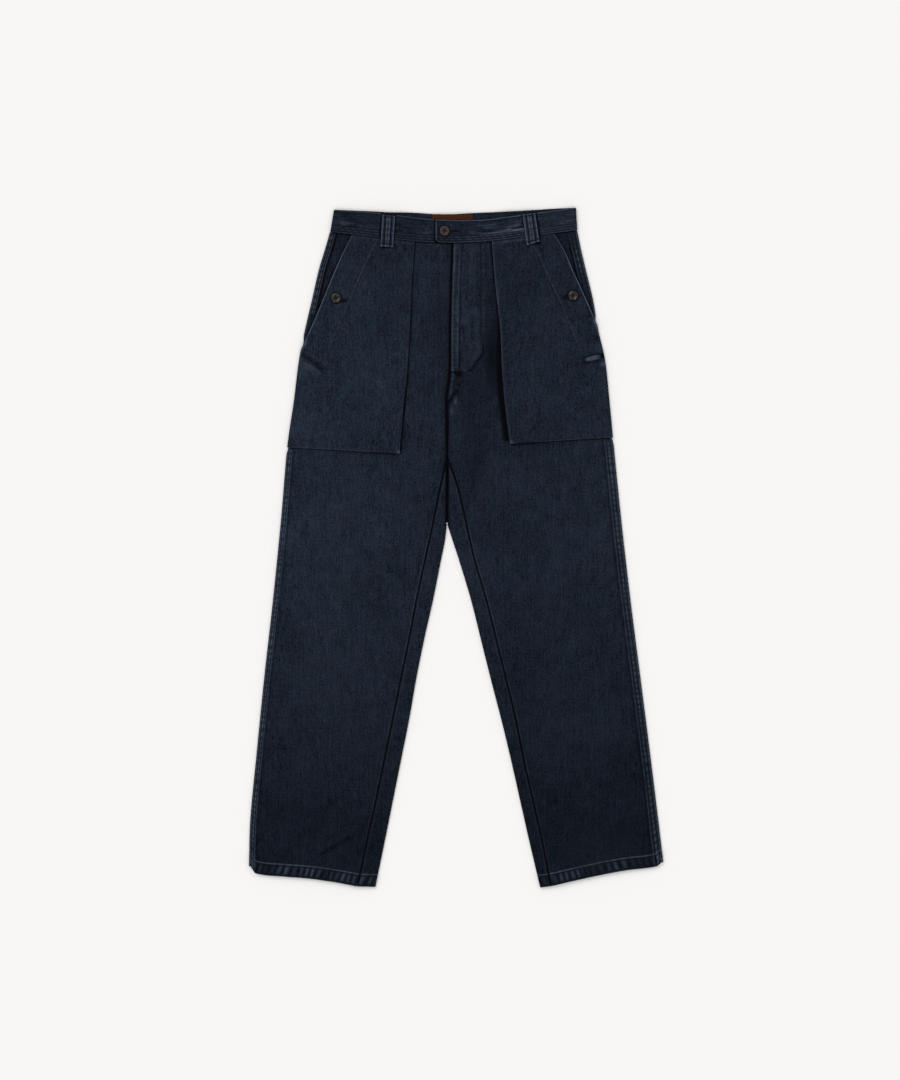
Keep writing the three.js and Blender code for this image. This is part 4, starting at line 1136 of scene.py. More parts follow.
def pocket_look(side, x, y, from_inner, from_slant, row, rise):
    """A pocket's worn edges, the stitching of its facing and its tacks, with painted shadow under the band,
    by the button, buttonhole and loop.
    """
    look = Look()
    look.spots(TONES, x, y)
    steady = uneven(y, 14, 51 + side.sign)
    look.add(wear=(0.24 if side is LEFT else 0.05) * steady * bell(from_inner - 0.7, 1.1))
    is_open = ease((row - side.slant_end + 8) / 8)
    worn = is_open * mix(0.45, 0.9, ease((500 - y) / 50)) * steady
    look.add(wear=worn * bell(from_slant - 0.7, 0.9), shade=is_open * 0.25 * bell(from_slant - 2.6, 0.8))
    stitched = ease((y - 312) / 6)
    facing = slant[side.name](y) - side.sign * x - FACING
    look.add(shade=stitched * 0.45 * bell(facing, 0.8))
    look.add(wear=stitched * bell(facing + 1.8, 1) * (0.05 + 0.22 * puckers(y, 9, 53)))
    end = ease((row - side.slant_end + 22) / 10) * (1 - ease((row - side.slant_end - 4) / 8))
    look.add(wear=0.6 * end * bell(from_slant - 2.6, 1.3))
    at_foot = 1 - np.abs(rise) + 0 * x
    look.add(wear=0.2 * bell(at_foot - 0.25, 0.25) * (at_foot > 0.01) * steady)
    look.add(wear=0.7 * bell(np.hypot(from_inner, y - side.pocket_foot), 4.5))
    under_band = band_bottom(x) - y
    # Painted shadow under the waistband
    look.add(shade=0.85 * core(under_band - GAP, 1, 1.3))
    top_wear = 0.4 * ease((130 - x) / 12) if side is LEFT else 0.12
    look.add(wear=top_wear * bell(under_band - 3.6, 1.2) * uneven(x, 8, 57, 0.3))
    # Painted shadow round the button, and painted shade in the buttonhole's slit
    look.add(shade=0.95 * core(off_button(f"pocket_{side.name}", x, y), 8.8, 1.8))
    hole = BUTTONHOLES[side.name]
    look.add(shade=core(np.hypot(x - hole["x"], 2 * (y - hole["y"])), 5.5, 1.8))
    # Painted shadow beside and below the foot of the belt loop
    for loop in FRONT_LOOPS.each():
        beside = np.abs(x - loop["foot_x"]) - LOOP_WIDTH / 2
        below = loop["foot_y"] - y
        look.add(shade=0.75 * bell(np.maximum(beside, 0), 1.4) * ease((3.5 - below) / 3))
        look.add(shade=0.85 * bell(below, 2.4) * ease((3 - beside) / 3))
    look.spots(SPOTS[side.name], x, y)
    if side is LEFT:
        bar_look(look, x, y)
    else:
        crumple_look(look, x, y)
    return look


def bar_look(look, x, y):
    """The bar at the foot of the opening: a worn lens with a rim of painted shadow, dark all over at its
    outer end.
    """
    along, across = beside_bar(x, y)
    ended = ease((x - LENS["dark_from"]) / 4)
    half = BAR["height"] / 2 * np.sqrt(np.clip(1 - ((x - LENS["x"]) / LENS["half"]) ** 2, 0, 1))
    off_lens = across + BAR["height"] / 2 - half
    worn = ease((0.6 - off_lens) / 2.6) * (half > 0.2) * (1 + 0.3 * wobble(x, 5, 55))
    look.add(wear=0.4 * worn * (1 - ended))
    rim = bell(off_lens - 0.9, 1.5) * (np.abs(along) < 20) * ease((3 - along) / 3)
    on_bar = np.maximum(along, across) < 0
    look.add(shade=0.85 * rim * (1 - 0.6 * ended) + 0.7 * ended * on_bar)


def crumple_look(look, x, y):
    """The crumpled foot of the other opening: a fold darkened with painted shade, with worn ridges along it.
    """
    along, across = off_line(CRUMPLE, x, y)
    near = ease((along + 5) / 7) * ease((CRUMPLE["length"] - along) / 12)
    look.add(shade=0.6 * near * bell(across + 1.2 * wobble(along, 7, 56), 4.2))
    for off, wear in ((-8, 0.26), (-11.5, 0.16), (-15, 0.12), (8, 0.12)):
        look.add(wear=wear * near * bell(across - off + 1.5 * wobble(along, 12, 58), 1.2))


def pocket(side):
    """A patch pocket: rolled inner and lower edges, a free slanted edge, and an edge round the side."""
    roll = np.radians(np.linspace(0, 90, 8))
    edge_rise = np.sin(roll)
    edge_flat = 1.6 * (1 - np.cos(roll)) + 0.2 * edge_rise
    edge_tucked = 1 - edge_rise
    outer_top = band_bottom(side.sign * slant[side.name](POCKET_TOP["slant"])) - GAP
    top_inner = band_bottom(side.sign * pocket_inner[side.name](POCKET_TOP["inner"])) - GAP
    foot_inner, foot_outer = side.pocket_foot, side.foot
    body_y = even(outer_top, foot_outer + 4.5, 2.2)
    if side is LEFT:
        body_y = joined(body_y, even(BAR["y"] + 16, BAR["y"] - 14, 0.8))
    down = np.concatenate([(outer_top - body_y) / (outer_top - foot_outer), np.ones(len(roll))])[:, None]
    rise = np.concatenate([np.ones(len(body_y)), edge_rise[::-1]])[:, None]
    flat = np.concatenate([np.zeros(len(body_y)), edge_flat[::-1]])[:, None]
    tuck = np.concatenate([np.zeros(len(body_y)), edge_tucked[::-1]])[:, None]

    inner_y = mix(top_inner, foot_inner, down)
    outer_y = mix(outer_top, foot_outer, down)
    inner_w = pocket_inner[side.name](inner_y)
    wrap_w = outline[side.name](outer_y) - HALF - FOLD_RADIUS - POCKET_WRAP_INSET
    caught = ease((side.slant_end + POCKET_CAUGHT - outer_y) / 14)
    slant_w = np.minimum(slant[side.name](outer_y), wrap_w + WRAP_RADIUS)

    def at(w):
        share = (w - inner_w) / (slant_w - inner_w)
        straight = mix(top_inner, outer_top, share)
        follow = (band_bottom(side.sign * w) - GAP - straight) * (1 - ease(down / 0.2))
        stand = bulge(side, w, mix(inner_y, outer_y, share))
        tucked = ease((stand - 1.5) / 1.5)
        shift = mix(flat, tuck, tucked)
        return mix(inner_y, outer_y, share) + follow + shift, stand * rise

    tucked = ease((bulge(side, inner_w, inner_y) - 1.5) / 1.5)
    edge_w = inner_w + mix(edge_flat, edge_tucked, tucked)
    near_slant = np.concatenate([[58, 52, 49, 47.4, 46.5, 45.6, 44.4, 42.5], np.arange(40, 11, -1.8)])
    across = mix(inner_w + 11, slant_w - 58, np.linspace(0, 1, 32)[1:-1])
    field_w = np.concatenate([inner_w + np.array([3, 4.5, 6.5, 8.5, 11]), across, slant_w - near_slant], 1)
    edge_y, edge_stand = at(edge_w)
    field_y, field_stand = at(field_w)
    free_off = np.array([9, 6.5, 4.5, 3, 2, 1.2, 0.6, 0.2, 0])
    free_w = slant_w - free_off
    turn = np.radians(np.linspace(100, 8, len(free_off)))
    outer_w = mix(free_w, wrap_w + WRAP_RADIUS * np.cos(turn), caught)
    outer_yy, _ = at(np.minimum(outer_w, slant_w))
    lifted = SLANT_LIFT * mix(0.5, 1, ease((12 - free_off) / 8)) * (1 - 0.3 * ease((2 - free_off) / 2))
    free_z = pocket_height(side, free_w, outer_yy) + lifted
    outer_z = mix(free_z, HALF + FOLD_RADIUS + WRAP_RADIUS * np.sin(turn), caught)
    w = np.concatenate([edge_w, field_w, outer_w], 1)
    y = np.concatenate([edge_y, field_y, outer_yy], 1)
    reach = np.concatenate([np.minimum(edge_w, slant_w), field_w, slant_w - free_off + 0 * outer_w], 1)
    look = pocket_look(side, side.sign * w, y, reach - inner_w, slant_w - reach, outer_y, rise)
    z = np.concatenate([
        pocket_height(side, edge_w, edge_y) + edge_stand * edge_rise,
        pocket_height(side, field_w, field_y) + field_stand,
        outer_z,
    ], 1)
    grid = Grid(side.sign * w, y, z, look.rise, look.wear, look.shade)
    return wall(f"pocket_{side.name}_cloth", [grid], CLOTH)


def y_of_band(x, h):
    return mix(band_bottom(x), band_top(x), h / BAND_HEIGHT)


def band_look(side, x, h, front_columns):
    """Rows of stitching with worn streaks between, and painted shadow by loops, button, buttonhole and tab,
    on the columns that lie in front.
    """
    look = Look()
    here = (np.arange(x.shape[1]) < front_columns)[None, :]
    swell = puckers(x + 0.8 * h, 11, 61 + side.sign)
    look.marks(BAND_MARKS, h, swell, uneven(x, 12, 63))
    streak = np.maximum(clouds(x, h, 12, 1.5, 65) + 0.5 * clouds(x, h, 36, 9, 66) - 0.2, 0)
    middle = ease((h - 10) / 4) * ease((35 - h) / 3)
    share = 0.95 * (0.25 + 0.75 * ease((x - 5) / 50)) if side is LEFT else 0.45
    smooth = 1 - 0.4 * ease((x - 125) / 20)
    low = mix(0.45, 1, ease((24 - h) / 8))
    look.add(wear=share * streak * middle * smooth * low)
    look.add(shade=0.24 * ease((34 - x) / 30) if side is LEFT else 0.05)
    worn = ease((x - 30) / 20) * ease((115 - x) / 10)
    look.add(wear=0.62 * worn * bell(h - 12.4, 1.4) * (0.8 + 0.4 * wobble(x, 9, 69)))
    look.wear = look.wear * smooth + 0.05 * ease((x - 125) / 20) if side is LEFT else look.wear * 0.65
    look.add(shade=0.35 * np.maximum(-clouds(x, h, 18, 4, 68) - 0.1, 0) * middle)
    look.add(rise=0.25 * (swell - 0.5) * bell(h - 6.9, 5))
    if side is LEFT:
        from_end = x - TAB_END
        look.add(wear=0.75 * bell(from_end - 0.9, 1), shade=0.4 * bell(from_end - 3.4, 0.8))
        hole = BUTTONHOLES["waist"]
        y = y_of_band(x, h)
        # Painted shade in the buttonhole's slit, and painted shadow round the button
        look.add(shade=0.95 * core(np.hypot((x - hole["x"]) * 0.18, y - hole["y"]), 0.8, 1.1))
        look.add(shade=0.9 * core(off_button("waist", x, y), 8.6, 1.8))
        look.spots(SPOTS["tab"], x, y)
    else:
        # A little darker all over, and painted shadow beside the end of the tab that laps over this half
        under = TAB_END - x
        look.add(shade=0.12 + (x > TAB_END - 12) * core(np.maximum(under, 0), 1.6, 1.6))
    # Painted shadow beside the belt loops
    for loop in FRONT_LOOPS.each():
        centre = mix(loop["top_x"], loop["foot_x"], 1 - h / BAND_HEIGHT)
        beside = np.maximum(np.abs(x - centre) - LOOP_WIDTH / 2, 0)
        look.add(shade=0.97 * core(beside, 1.5, 1.4))
    look.wear, look.shade, look.rise = look.wear * here, look.shade * here, look.rise * here
    return look


def waistband(side):
    """Half of the waistband: its front, the fold at the side and its back, to the middle of the back."""
    low, high = [0, 0.4, 1, 1.8], [33.3, 34, 34.8, 35.6, 36.2, 36.7, 37]
    heights = np.concatenate([low, np.arange(2.9, 14, 1), np.arange(15, 33.5, 1.7), high])
    share = np.unique(heights)[:, None] / BAND_HEIGHT
    start = TAB_END if side is LEFT else -UNDER_TAB_END
    reach = BAND / 2 + BAND_FOLD_RADIUS
    arc_start = side.band_end - reach
    front = np.concatenate([start + graded(12, 0.4, 1.6), even(start + 13.5, arc_start, 1.7)])
    back_end = side.sign * middle_back(MIDDLE["y"][0]) + GAP / 2
    back = even(arc_start, back_end, 2.6)
    turn = np.radians(np.linspace(90, -90, 13))[1:-1]
    edge = np.minimum(share, 1 - share) * BAND_HEIGHT
    thin = -0.6 * (1 - np.sqrt(1 - np.clip(1 - edge / 1.2, 0, 1) ** 2))
    end_shift = mix(0, side.band_end_top - side.band_end, share)

    def lean(w):
        return w + end_shift * ease((w - arc_start + 60) / 60)

    in_corner = np.maximum(TAB_ROUND - (front - start), 0)
    rounded = TAB_ROUND - np.sqrt(TAB_ROUND**2 - in_corner**2) if side is LEFT else 0 * front
    x = side.sign * lean(front)
    y = mix(band_bottom(x) + rounded, band_top(x) - rounded * 0.3, share)
    front_points = (x, y, band_height(side, front, y))
    centre = lean(arc_start)
    end_x = side.sign * lean(side.band_end)
    end_y = mix(band_bottom(end_x), band_top(end_x), share)
    turn_points = (
        side.sign * (centre + BAND_FOLD_RADIUS * np.cos(turn)),
        end_y + 0 * turn,
        BAND / 2 + BAND_FOLD_RADIUS * (1 + np.sin(turn)) + 0 * share,
    )
    x = side.sign * lean(back)
    y = mix(band_back_bottom(side, x), band_back_top(x), share)
    back_points = (x, y, BAND / 2 + loop_lift(x, y))
    fields = [np.concatenate(parts, 1) for parts in zip(front_points, turn_points, back_points)]
    look = band_look(side, fields[0], share * BAND_HEIGHT, len(front) + 5)
    grid = Grid(*fields, thin + look.rise, look.wear, look.shade)
    return wall(f"waistband_{side.name}_cloth", [grid], BAND)


def front_loop(loop):
    """A belt loop in front, sewn on at the waistband's top edge and under its bottom edge."""
    side = LEFT if loop["top_x"] > 0 else RIGHT
    band_share = 0.86
    first, last = [0, 0.012, 0.03], [0.95, 0.965, 0.98, 0.992, 1]
    share = np.concatenate([first, np.linspace(0.05, 0.93, 40), last])[:, None]
    across = np.array([-1, -0.97, -0.92, -0.84, -0.74, -0.6, -0.5, -0.41, -0.3, -0.2, -0.1, 0])
    across = np.concatenate([across, -across[-2::-1]]) * LOOP_WIDTH / 2
    centre_x = mix(loop["top_x"], loop["foot_x"], share)
    centre_y = mix(loop["top_y"], loop["foot_y"], share)
    w = side.sign * centre_x
    on_band = band_height(side, w, centre_y) + BAND / 2
    on_pocket = pocket_height(side, w, centre_y) + bulge(side, w, centre_y) + HALF
    seat = np.maximum(on_band, on_pocket)
    base = mix(seat, on_pocket, ease((share - band_share) / (1 - band_share)))
    bow = LOOP_BOW * np.sin(np.pi * np.minimum(share / band_share, 1))
    y = centre_y + mix(loop["top_slope"], loop["foot_slope"], share) * across
    z = base + GAP + LOOP_THICK / 2 + bow + 0 * across
    look = Look()
    swell = puckers(centre_y, 12, 71) + 0 * across
    look.marks(LOOP_MARKS, np.abs(across) + 0 * centre_y, swell)
    down = share * LOOP_LENGTH
    look.add(wear=0.5 * bell(LOOP_LENGTH - down, 1.4) + 0.35 * bell(down - 0.6, 1))
    look.add(shade=0.5 * bell(LOOP_LENGTH - 4.5 - down, 1))
    look.add(wear=0.05 if side is LEFT else 0)
    thin = -0.5 * bell(LOOP_WIDTH / 2 - np.abs(across), 0.7)
    grid = Grid(centre_x + across, y, z, thin, look.wear, look.shade)
    return wall(f"belt_loop_front_{side.name}_cloth", [grid], LOOP_THICK)


def back_loop(name, x):
    side = RIGHT if x < 0 else LEFT
    share = np.linspace(0, 1, 24)[:, None]
    place = x + np.linspace(-0.5, 0.5, 13) * LOOP_WIDTH
    bottom = band_back_bottom(side, place) - LOOP_BELOW_BAND
    y = mix(band_back_top(place), bottom, share)
    return wall(f"belt_loop_back_{name}_cloth", [Grid(place + 0 * share, y, LOOP_THICK / 2)], LOOP_THICK)


def fly_shield():
    corner = FLY_CORNER["radius"] - SHIELD_INSET
    edge, bottom = FLY_CORNER["x"], FLY_CORNER["y"] + SHIELD_BELOW_CORNER
    top = band_bottom(edge / 2) - GAP
    v = joined(even(top, bottom + corner, 4), bottom + corner * even(1, 0, 0.04))[:, None]
    start = middle_front(v) + UNDERLAP + GAP
    rise = np.maximum(bottom + corner - v, 0)
    end = edge - SHIELD_INSET - corner + np.sqrt(corner**2 - rise**2)
    x = mix(start, end, np.linspace(0, 1, 14))
    y = v + (band_bottom(x) - band_bottom(edge / 2)) * (1 - ease((top - v) / SHIELD_FOLLOW))
    cover = front_height(LEFT, x, y) + fly_lift(x, y)
    z = np.minimum(cover - LAYER, front_height(LEFT, x, y)) - SHIELD_SLACK
    return wall("fly_shield_cloth", [Grid(x, y, z)], CLOTH)


def waist_label():
    x = even(LABEL["left"], LABEL["right"], 1.5) + np.zeros((18, 1))
    y = (LABEL["top"] - LABEL["height"] * np.linspace(0, 1, 18))[:, None]
    z = BAND + GAP + LABEL["thick"] / 2 + loop_lift(x, y)
    return wall("waist_label_tape", [Grid(x, y, z)], LABEL["thick"])


# Materials


class Shader:
    """A node material, built with one short call for each node."""

    def __init__(self, name):
        self.material = bpy.data.materials.new(name)
        self.material.use_nodes = True
        self.tree = self.material.node_tree
        self.surface = self.tree.nodes["Principled BSDF"]
        self.place = self.node("ShaderNodeTexCoord").outputs["Object"]

    def node(self, kind, inputs=None, **settings):
        made = self.tree.nodes.new(kind)
        for key, value in settings.items():
            setattr(made, key, value)
        for key, value in (inputs or {}).items():
            self.feed(made.inputs[key], value)
        return made

    def feed(self, socket, value):
        if isinstance(value, bpy.types.NodeSocket):
            self.tree.links.new(value, socket)
        else:
            socket.default_value = value

    def math(self, operation, *values):
        return self.node("ShaderNodeMath", dict(enumerate(values)), operation=operation).outputs[0]

    def scaled(self, x, y):
        made = self.node("ShaderNodeVectorMath", {0: self.place, 1: (x, y, 1.0)}, operation="MULTIPLY")
        return made.outputs[0]

    def noise(self, vector, scale, detail=2.0):
        """Noise of about -1 to 1."""
        made = self.node("ShaderNodeTexNoise", {"Vector": vector, "Scale": scale, "Detail": detail})
        return self.math("MULTIPLY_ADD", made.outputs["Fac"], 4.0, -2.0)

    def bands(self, vector, scale, direction="X", **inputs):
        inputs = {"Vector": vector, "Scale": scale, **inputs}
        return self.node("ShaderNodeTexWave", inputs, bands_direction=direction).outputs["Fac"]

    def ranged(self, value, start, end, at_start, at_end, kind="LINEAR"):
        """Goes from at_start to at_end while the value goes from start to end."""
        inputs = dict(enumerate((value, start, end, at_start, at_end)))
        return self.node("ShaderNodeMapRange", inputs, interpolation_type=kind).outputs[0]

    def weigh(self, start, *pairs):
        """start plus each value times its weight."""
        total = start
        for value, weight in pairs:
            total = self.math("MULTIPLY_ADD", value, weight, total)
        return total

    def blend(self, share, a, b):
        made = self.node("ShaderNodeMix", data_type="RGBA")
        for socket, value in ((made.inputs[0], share), (made.inputs[6], a), (made.inputs[7], b)):
            self.feed(socket, value)
        return made.outputs[2]

    def attribute(self, name):
        return self.node("ShaderNodeAttribute", attribute_name=name).outputs["Fac"]

    def bump(self, height, distance, strength):
        inputs = {"Height": height, "Distance": distance, "Strength": strength}
        return self.node("ShaderNodeBump", inputs).outputs[0]

    def made_of(self, inputs):
        """The material, once the inputs of its surface are set."""
        for name, value in inputs.items():
            self.feed(self.surface.inputs[name], value)
        return self.material


NAVY_GREEN = (0.0082, 0.0162, 0.0234, 1)
NAVY_RED = (0.0119, 0.0134, 0.0244, 1)
PALE_WEAR_AND_HIGHLIGHT = (0.078, 0.105, 0.15, 1)
# Near black, to which the painted shade darkens the cloth
DEEP = (0.0017, 0.0014, 0.0026, 1)
THREAD_DARK = (0.0057, 0.00372, 0.0075, 1)
THREAD_LIGHT = (0.0095, 0.0062, 0.0125, 1)
TAPE_DARK = (0.034, 0.009, 0.0035, 1)
TAPE_LIGHT = (0.062, 0.019, 0.008, 1)
HORN = {
    "dark": (0.0012, 0.0008, 0.0006, 1),
    "light": (0.022, 0.012, 0.0055, 1),
    "rough": 0.12,
    "gloss": 0.3,
}
DULL_HORN = {
    "dark": (0.01, 0.0078, 0.0065, 1),
    "light": (0.036, 0.028, 0.023, 1),
    "rough": 0.42,
    "gloss": 0.2,
}
FLOOR_WHITE = (0.758, 0.752, 0.745, 1)

# How light the cloth is from the hems to the waist, by height in metres, and the share that counts as 1
HEIGHT_TONE_UNIT = 1.13
HEIGHT_TONE = Table(("y", "share"), [
    (-0.54, 0.5),
    (-0.44, 0.55),
    (-0.38, 0.66),
    (-0.28, 0.82),
    (-0.1, 0.9),
    (0.03, 1),
    (0.3, 1.04),
    (0.46, 0.96),
])


def cloth_material(name, sideways=False):
    """Washed navy twill: cloudy, streaked along the warp, paler where worn and at painted highlights, dark at
    painted shade.
    """
    shader = Shader(name)
    warp = shader.scaled(70, 620) if sideways else shader.scaled(620, 70)
    streak = shader.scaled(16, 260) if sideways else shader.scaled(260, 16)
    nap = shader.noise(shader.place, 1400, 1)
    tone = shader.weigh(
        1.0,
        (shader.noise(shader.place, 9, 3), 0.2),
        (shader.noise(shader.place, 55, 2), 0.2),
        (shader.noise(warp, 1, 2), 0.4),
        (shader.noise(streak, 1, 2), 0.24),
        (shader.noise(shader.scaled(1, 0.8), 430, 1), 0.52),
        (nap, 0.3),
    )
    split = shader.node("ShaderNodeSeparateXYZ", {0: shader.place})
    ramp = shader.node("ShaderNodeValToRGB")
    low, high = HEIGHT_TONE["y"][0], HEIGHT_TONE["y"][-1]
    shader.feed(ramp.inputs[0], shader.ranged(split.outputs[1], low, high, 0.0, 1.0))
    elements = ramp.color_ramp.elements
    for row in HEIGHT_TONE.each()[1:-1]:
        elements.new((row["y"] - low) / (high - low))
    for element, row in zip(elements, HEIGHT_TONE.each()):
        element.color = (row["share"] / HEIGHT_TONE_UNIT,) * 3 + (1,)
    # Painted shade: the cloth darkens towards the right, as the light falls off there
    painted_falloff = shader.ranged(split.outputs[0], -0.06, 0.1, 1.1, 0.95, "SMOOTHSTEP")
    height_tone_and_falloff = shader.math("MULTIPLY", ramp.outputs[0], painted_falloff)
    tone = shader.math("MULTIPLY", shader.math("MAXIMUM", tone, 0.25), height_tone_and_falloff)
    hue = shader.weigh(0.5, (shader.noise(shader.place, 260, 1), 0.7))
    dye = shader.blend(shader.math("MINIMUM", shader.math("MAXIMUM", hue, 0.0), 1.0), NAVY_GREEN, NAVY_RED)
    cloth = shader.node("ShaderNodeVectorMath", {0: dye, "Scale": tone}, operation="SCALE").outputs[0]
    # Paled where worn and at the painted highlights, then darkened to near black where shade is painted
    patchy = shader.weigh(0.85, (shader.noise(shader.place, 800, 1), 0.35))
    worn = shader.math("MULTIPLY", shader.attribute("wear"), patchy)
    weave = shader.bands(shader.scaled(1, 0.62), 350.0, "DIAGONAL")
    return shader.made_of({
        "Base Color": shader.blend(shader.attribute("shade"), shader.blend(worn, cloth, PALE_WEAR_AND_HIGHLIGHT), DEEP),
        "Normal": shader.bump(shader.weigh(weave, (nap, 0.6)), 0.0002, 0.8),
        "Roughness": 0.95,
        "Specular IOR Level": 0.01,
        "Sheen Weight": 0.025,
        "Sheen Roughness": 0.6,
        "Sheen Tint": (0.5, 0.62, 0.85, 1),
    })


def floor_material():
    return Shader("floor").made_of({
        "Base Color": FLOOR_WHITE,
        "Roughness": 1,
        "Specular IOR Level": 0,
    })


def label_material():
    """Brown tape with fine ribs across it."""
    shader = Shader("label_tape")
    ribs = shader.bands(shader.place, 330.0, "Y")
    share = shader.weigh(0.1, (ribs, 0.6), (shader.noise(shader.place, 500, 1), 0.25))
    return shader.made_of({
        "Base Color": shader.blend(share, TAPE_DARK, TAPE_LIGHT),
        "Normal": shader.bump(ribs, 0.00012, 0.7),
        "Roughness": 0.9,
        "Specular IOR Level": 0.08,
    })


def thread_material():
    shader = Shader("thread")
    twist = shader.bands(shader.place, 900.0, "DIAGONAL")
    return shader.made_of({
        "Base Color": shader.blend(twist, THREAD_DARK, THREAD_LIGHT),
        "Roughness": 0.6,
        "Specular IOR Level": 0.08,
    })


def horn_material(name, dark, light, rough, gloss):
    """Polished horn: layered brown with paler veins."""
    shader = Shader(name)
    veins = shader.bands(shader.scaled(1, 0.6), 90.0, Distortion=9.0, Detail=3.0)
    share = shader.weigh(0.25, (veins, 0.5), (shader.noise(shader.place, 500, 2), 0.25))
    return shader.made_of({
        "Base Color": shader.blend(share, dark, light),
        "Roughness": rough,
        "Specular IOR Level": gloss,
    })


# A height above all the cloth
ABOVE_ALL = 60


class Seat:
    """Height of the highest cloth at any place."""

    def __init__(self, items):
        points, faces, start = [], [], 0
        for item in items:
            mesh = item.data
            places = np.empty(len(mesh.vertices) * 3, np.float32)
            corners = np.empty(len(mesh.loops), np.int32)
            mesh.vertices.foreach_get("co", places)
            mesh.loops.foreach_get("vertex_index", corners)
            points.append(places.reshape(-1, 3) / MM)
            faces.append(corners.reshape(-1, 4) + start)
            start += len(mesh.vertices)
        self.tree = BVHTree.FromPolygons(np.concatenate(points).tolist(), np.concatenate(faces).tolist())

    def height(self, x, y):
        hit = self.tree.ray_cast((x, y, ABOVE_ALL), (0, 0, -1))[0]
        return hit.z if hit else 0

    def on(self, places):
        return np.array([(x, y, self.height(x, y)) for x, y in places])


def threads(starts, ends, radius):
    """Short rounded threads from starts to ends, as points and four-cornered faces."""
    axis = ends - starts
    length = np.linalg.norm(axis, axis=1, keepdims=True)
    axis = axis / length
    aside = np.cross(axis, (0, 0, 1))
    aside /= np.maximum(np.linalg.norm(aside, axis=1, keepdims=True), 1e-9)
    up = np.cross(aside, axis)
    rings = []
    for along, size, lift in ((0, 0.35, -0.5), (0.22, 0.95, 0), (0.78, 0.95, 0), (1, 0.35, -0.5)):
        centre = starts + axis * length * along + up * lift * radius
        for turn in (45, 135, 225, 315):
            angle = math.radians(turn)
            rings.append(centre + radius * size * (math.cos(angle) * aside + math.sin(angle) * up))
    points = np.stack(rings, 1)
    faces = [(3, 2, 1, 0), (12, 13, 14, 15)]
    for ring in range(3):
        for corner in range(4):
            a, b = 4 * ring + corner, 4 * ring + (corner + 1) % 4
            faces.append((a, b, b + 4, a + 4))
    faces = np.array(faces)[None] + 16 * np.arange(len(points))[:, None, None]
    return points.reshape(-1, 3), faces.reshape(-1, 4)


def directions(turn):
    """Along and aside, turned from +X and +Y by degrees."""
    c, s = math.cos(math.radians(turn)), math.sin(math.radians(turn))
    return np.array([c, s]), np.array([-s, c])


class Sewing:
    """Stitches, tacks and buttonholes, gathered into one piece."""

    def __init__(self, seat):
        self.seat = seat
        self.parts = []

    def add(self, starts, ends, radius):
        starts, ends = self.seat.on(starts), self.seat.on(ends)
        steep = np.abs(starts[:, 2] - ends[:, 2]) < 0.8
        lift = np.array([0, 0, 0.3 * radius])
        self.parts.append((starts[steep] + lift, ends[steep] + lift, radius))

    def row(self, line, pitch=3.2, radius=0.34):
        """Lockstitches along a line of places."""
        line = np.asarray(line, float)
        along = np.concatenate([[0], np.cumsum(np.hypot(*np.diff(line, axis=0).T))])
        count = max(1, int(along[-1] / pitch))
        start = (np.arange(count) + 0.14) * along[-1] / count
        end = start + 0.72 * along[-1] / count
        ends = [np.stack([np.interp(at, along, line[:, i]) for i in (0, 1)], 1) for at in (start, end)]
        self.add(*ends, radius)

    def tack(self, x, y, turn, length, width, pitch=0.62):
        """Close threads side by side, across a short bar."""
        axis, aside = directions(turn)
        along = np.arange(-length / 2, length / 2, pitch)[:, None]
        middle = np.array([x, y]) + along * axis
        lean = 0.25 * axis
        self.add(middle - (aside + lean) * width / 2, middle + (aside + lean) * width / 2, 0.3)

    def buttonhole(self, x, y, turn, length, pitch=0.7):
        """Threads all round a slit."""
        axis, aside = directions(turn)
        along = np.arange(-length / 2, length / 2, pitch)
        for way in (-1, 1):
            foot = np.array([x, y]) + along[:, None] * axis + way * 0.45 * aside
            self.add(foot, foot + way * 1.5 * aside, 0.3)
        for way in (-1, 1):
            angles = np.radians(np.linspace(-70, 70, 7))[:, None]
            out = way * np.cos(angles) * axis + np.sin(angles) * aside
            foot = np.array([x, y]) + way * length / 2 * axis + 0.5 * out
            self.add(foot, foot + 1.5 * out, 0.3)

    def piece(self, name):
        points, faces, count = [], [], 0
        for starts, ends, radius in self.parts:
            part, corners = threads(starts, ends, radius)
            points.append(part)
            faces.append(corners + count)
            count += len(part)
        return mesh_object(name, np.concatenate(points), np.concatenate(faces))


# Rows of stitches: inward from a leg's outer edge, beside the fly's edge, outside its curve, up the
# waistband and beside the middle of a belt loop, and where the facings' rows end
SEAM_ROWS = {"left": (5.1, 11.4), "right": (4.0, 7.3)}
FLY_ROWS = (6.3, 13.3)
CURVE_ROWS = (0.4, -2.7)
CROTCH_ROWS = (2, 8)
BAND_ROWS = (2.9, 6.9, 11, 34)
LOOP_ROWS = (-4.6, 4.6)
FACING_FOOT = {"left": 318, "right": 314}


def sewn(name, seat, material, work, *sides):
    """One piece with the sewing that work does."""
    sewing = Sewing(seat)
    work(sewing, *sides)
    return trim(sewing.piece(name), material)


def across_leg(side, y, from_outline):
    """Places at a distance inward from a leg's outer edge."""
    return np.stack([side.sign * (outline[side.name](y) - from_outline), y], 1)


def sew_leg(sewing, side):
    """Both rows of a side seam, where it shows, and the hem's row."""
    top = band_bottom(side.sign * side.band_end) - 3
    for off in SEAM_ROWS[side.name]:
        sewing.row(across_leg(side, np.linspace(top, side.slant_end + FELL_COVERED + 4, 60), off), 3.4)
        sewing.row(across_leg(side, np.linspace(side.foot - 10, side.hem + 20, 200), off), 3.4)
    v = side.hem + HEM_TURN - 1.4
    shares = np.linspace(0.03, 0.99, 60)
    outer_w, inner_w = outline[side.name](v), inner[side.name](v - hem_drop[side.name](1))
    x = side.sign * mix(outer_w - 2, inner_w + 2, shares)
    sewing.row(np.stack([x, v - hem_drop[side.name](shares * INSEAM_SHARE)], 1), 3.2)


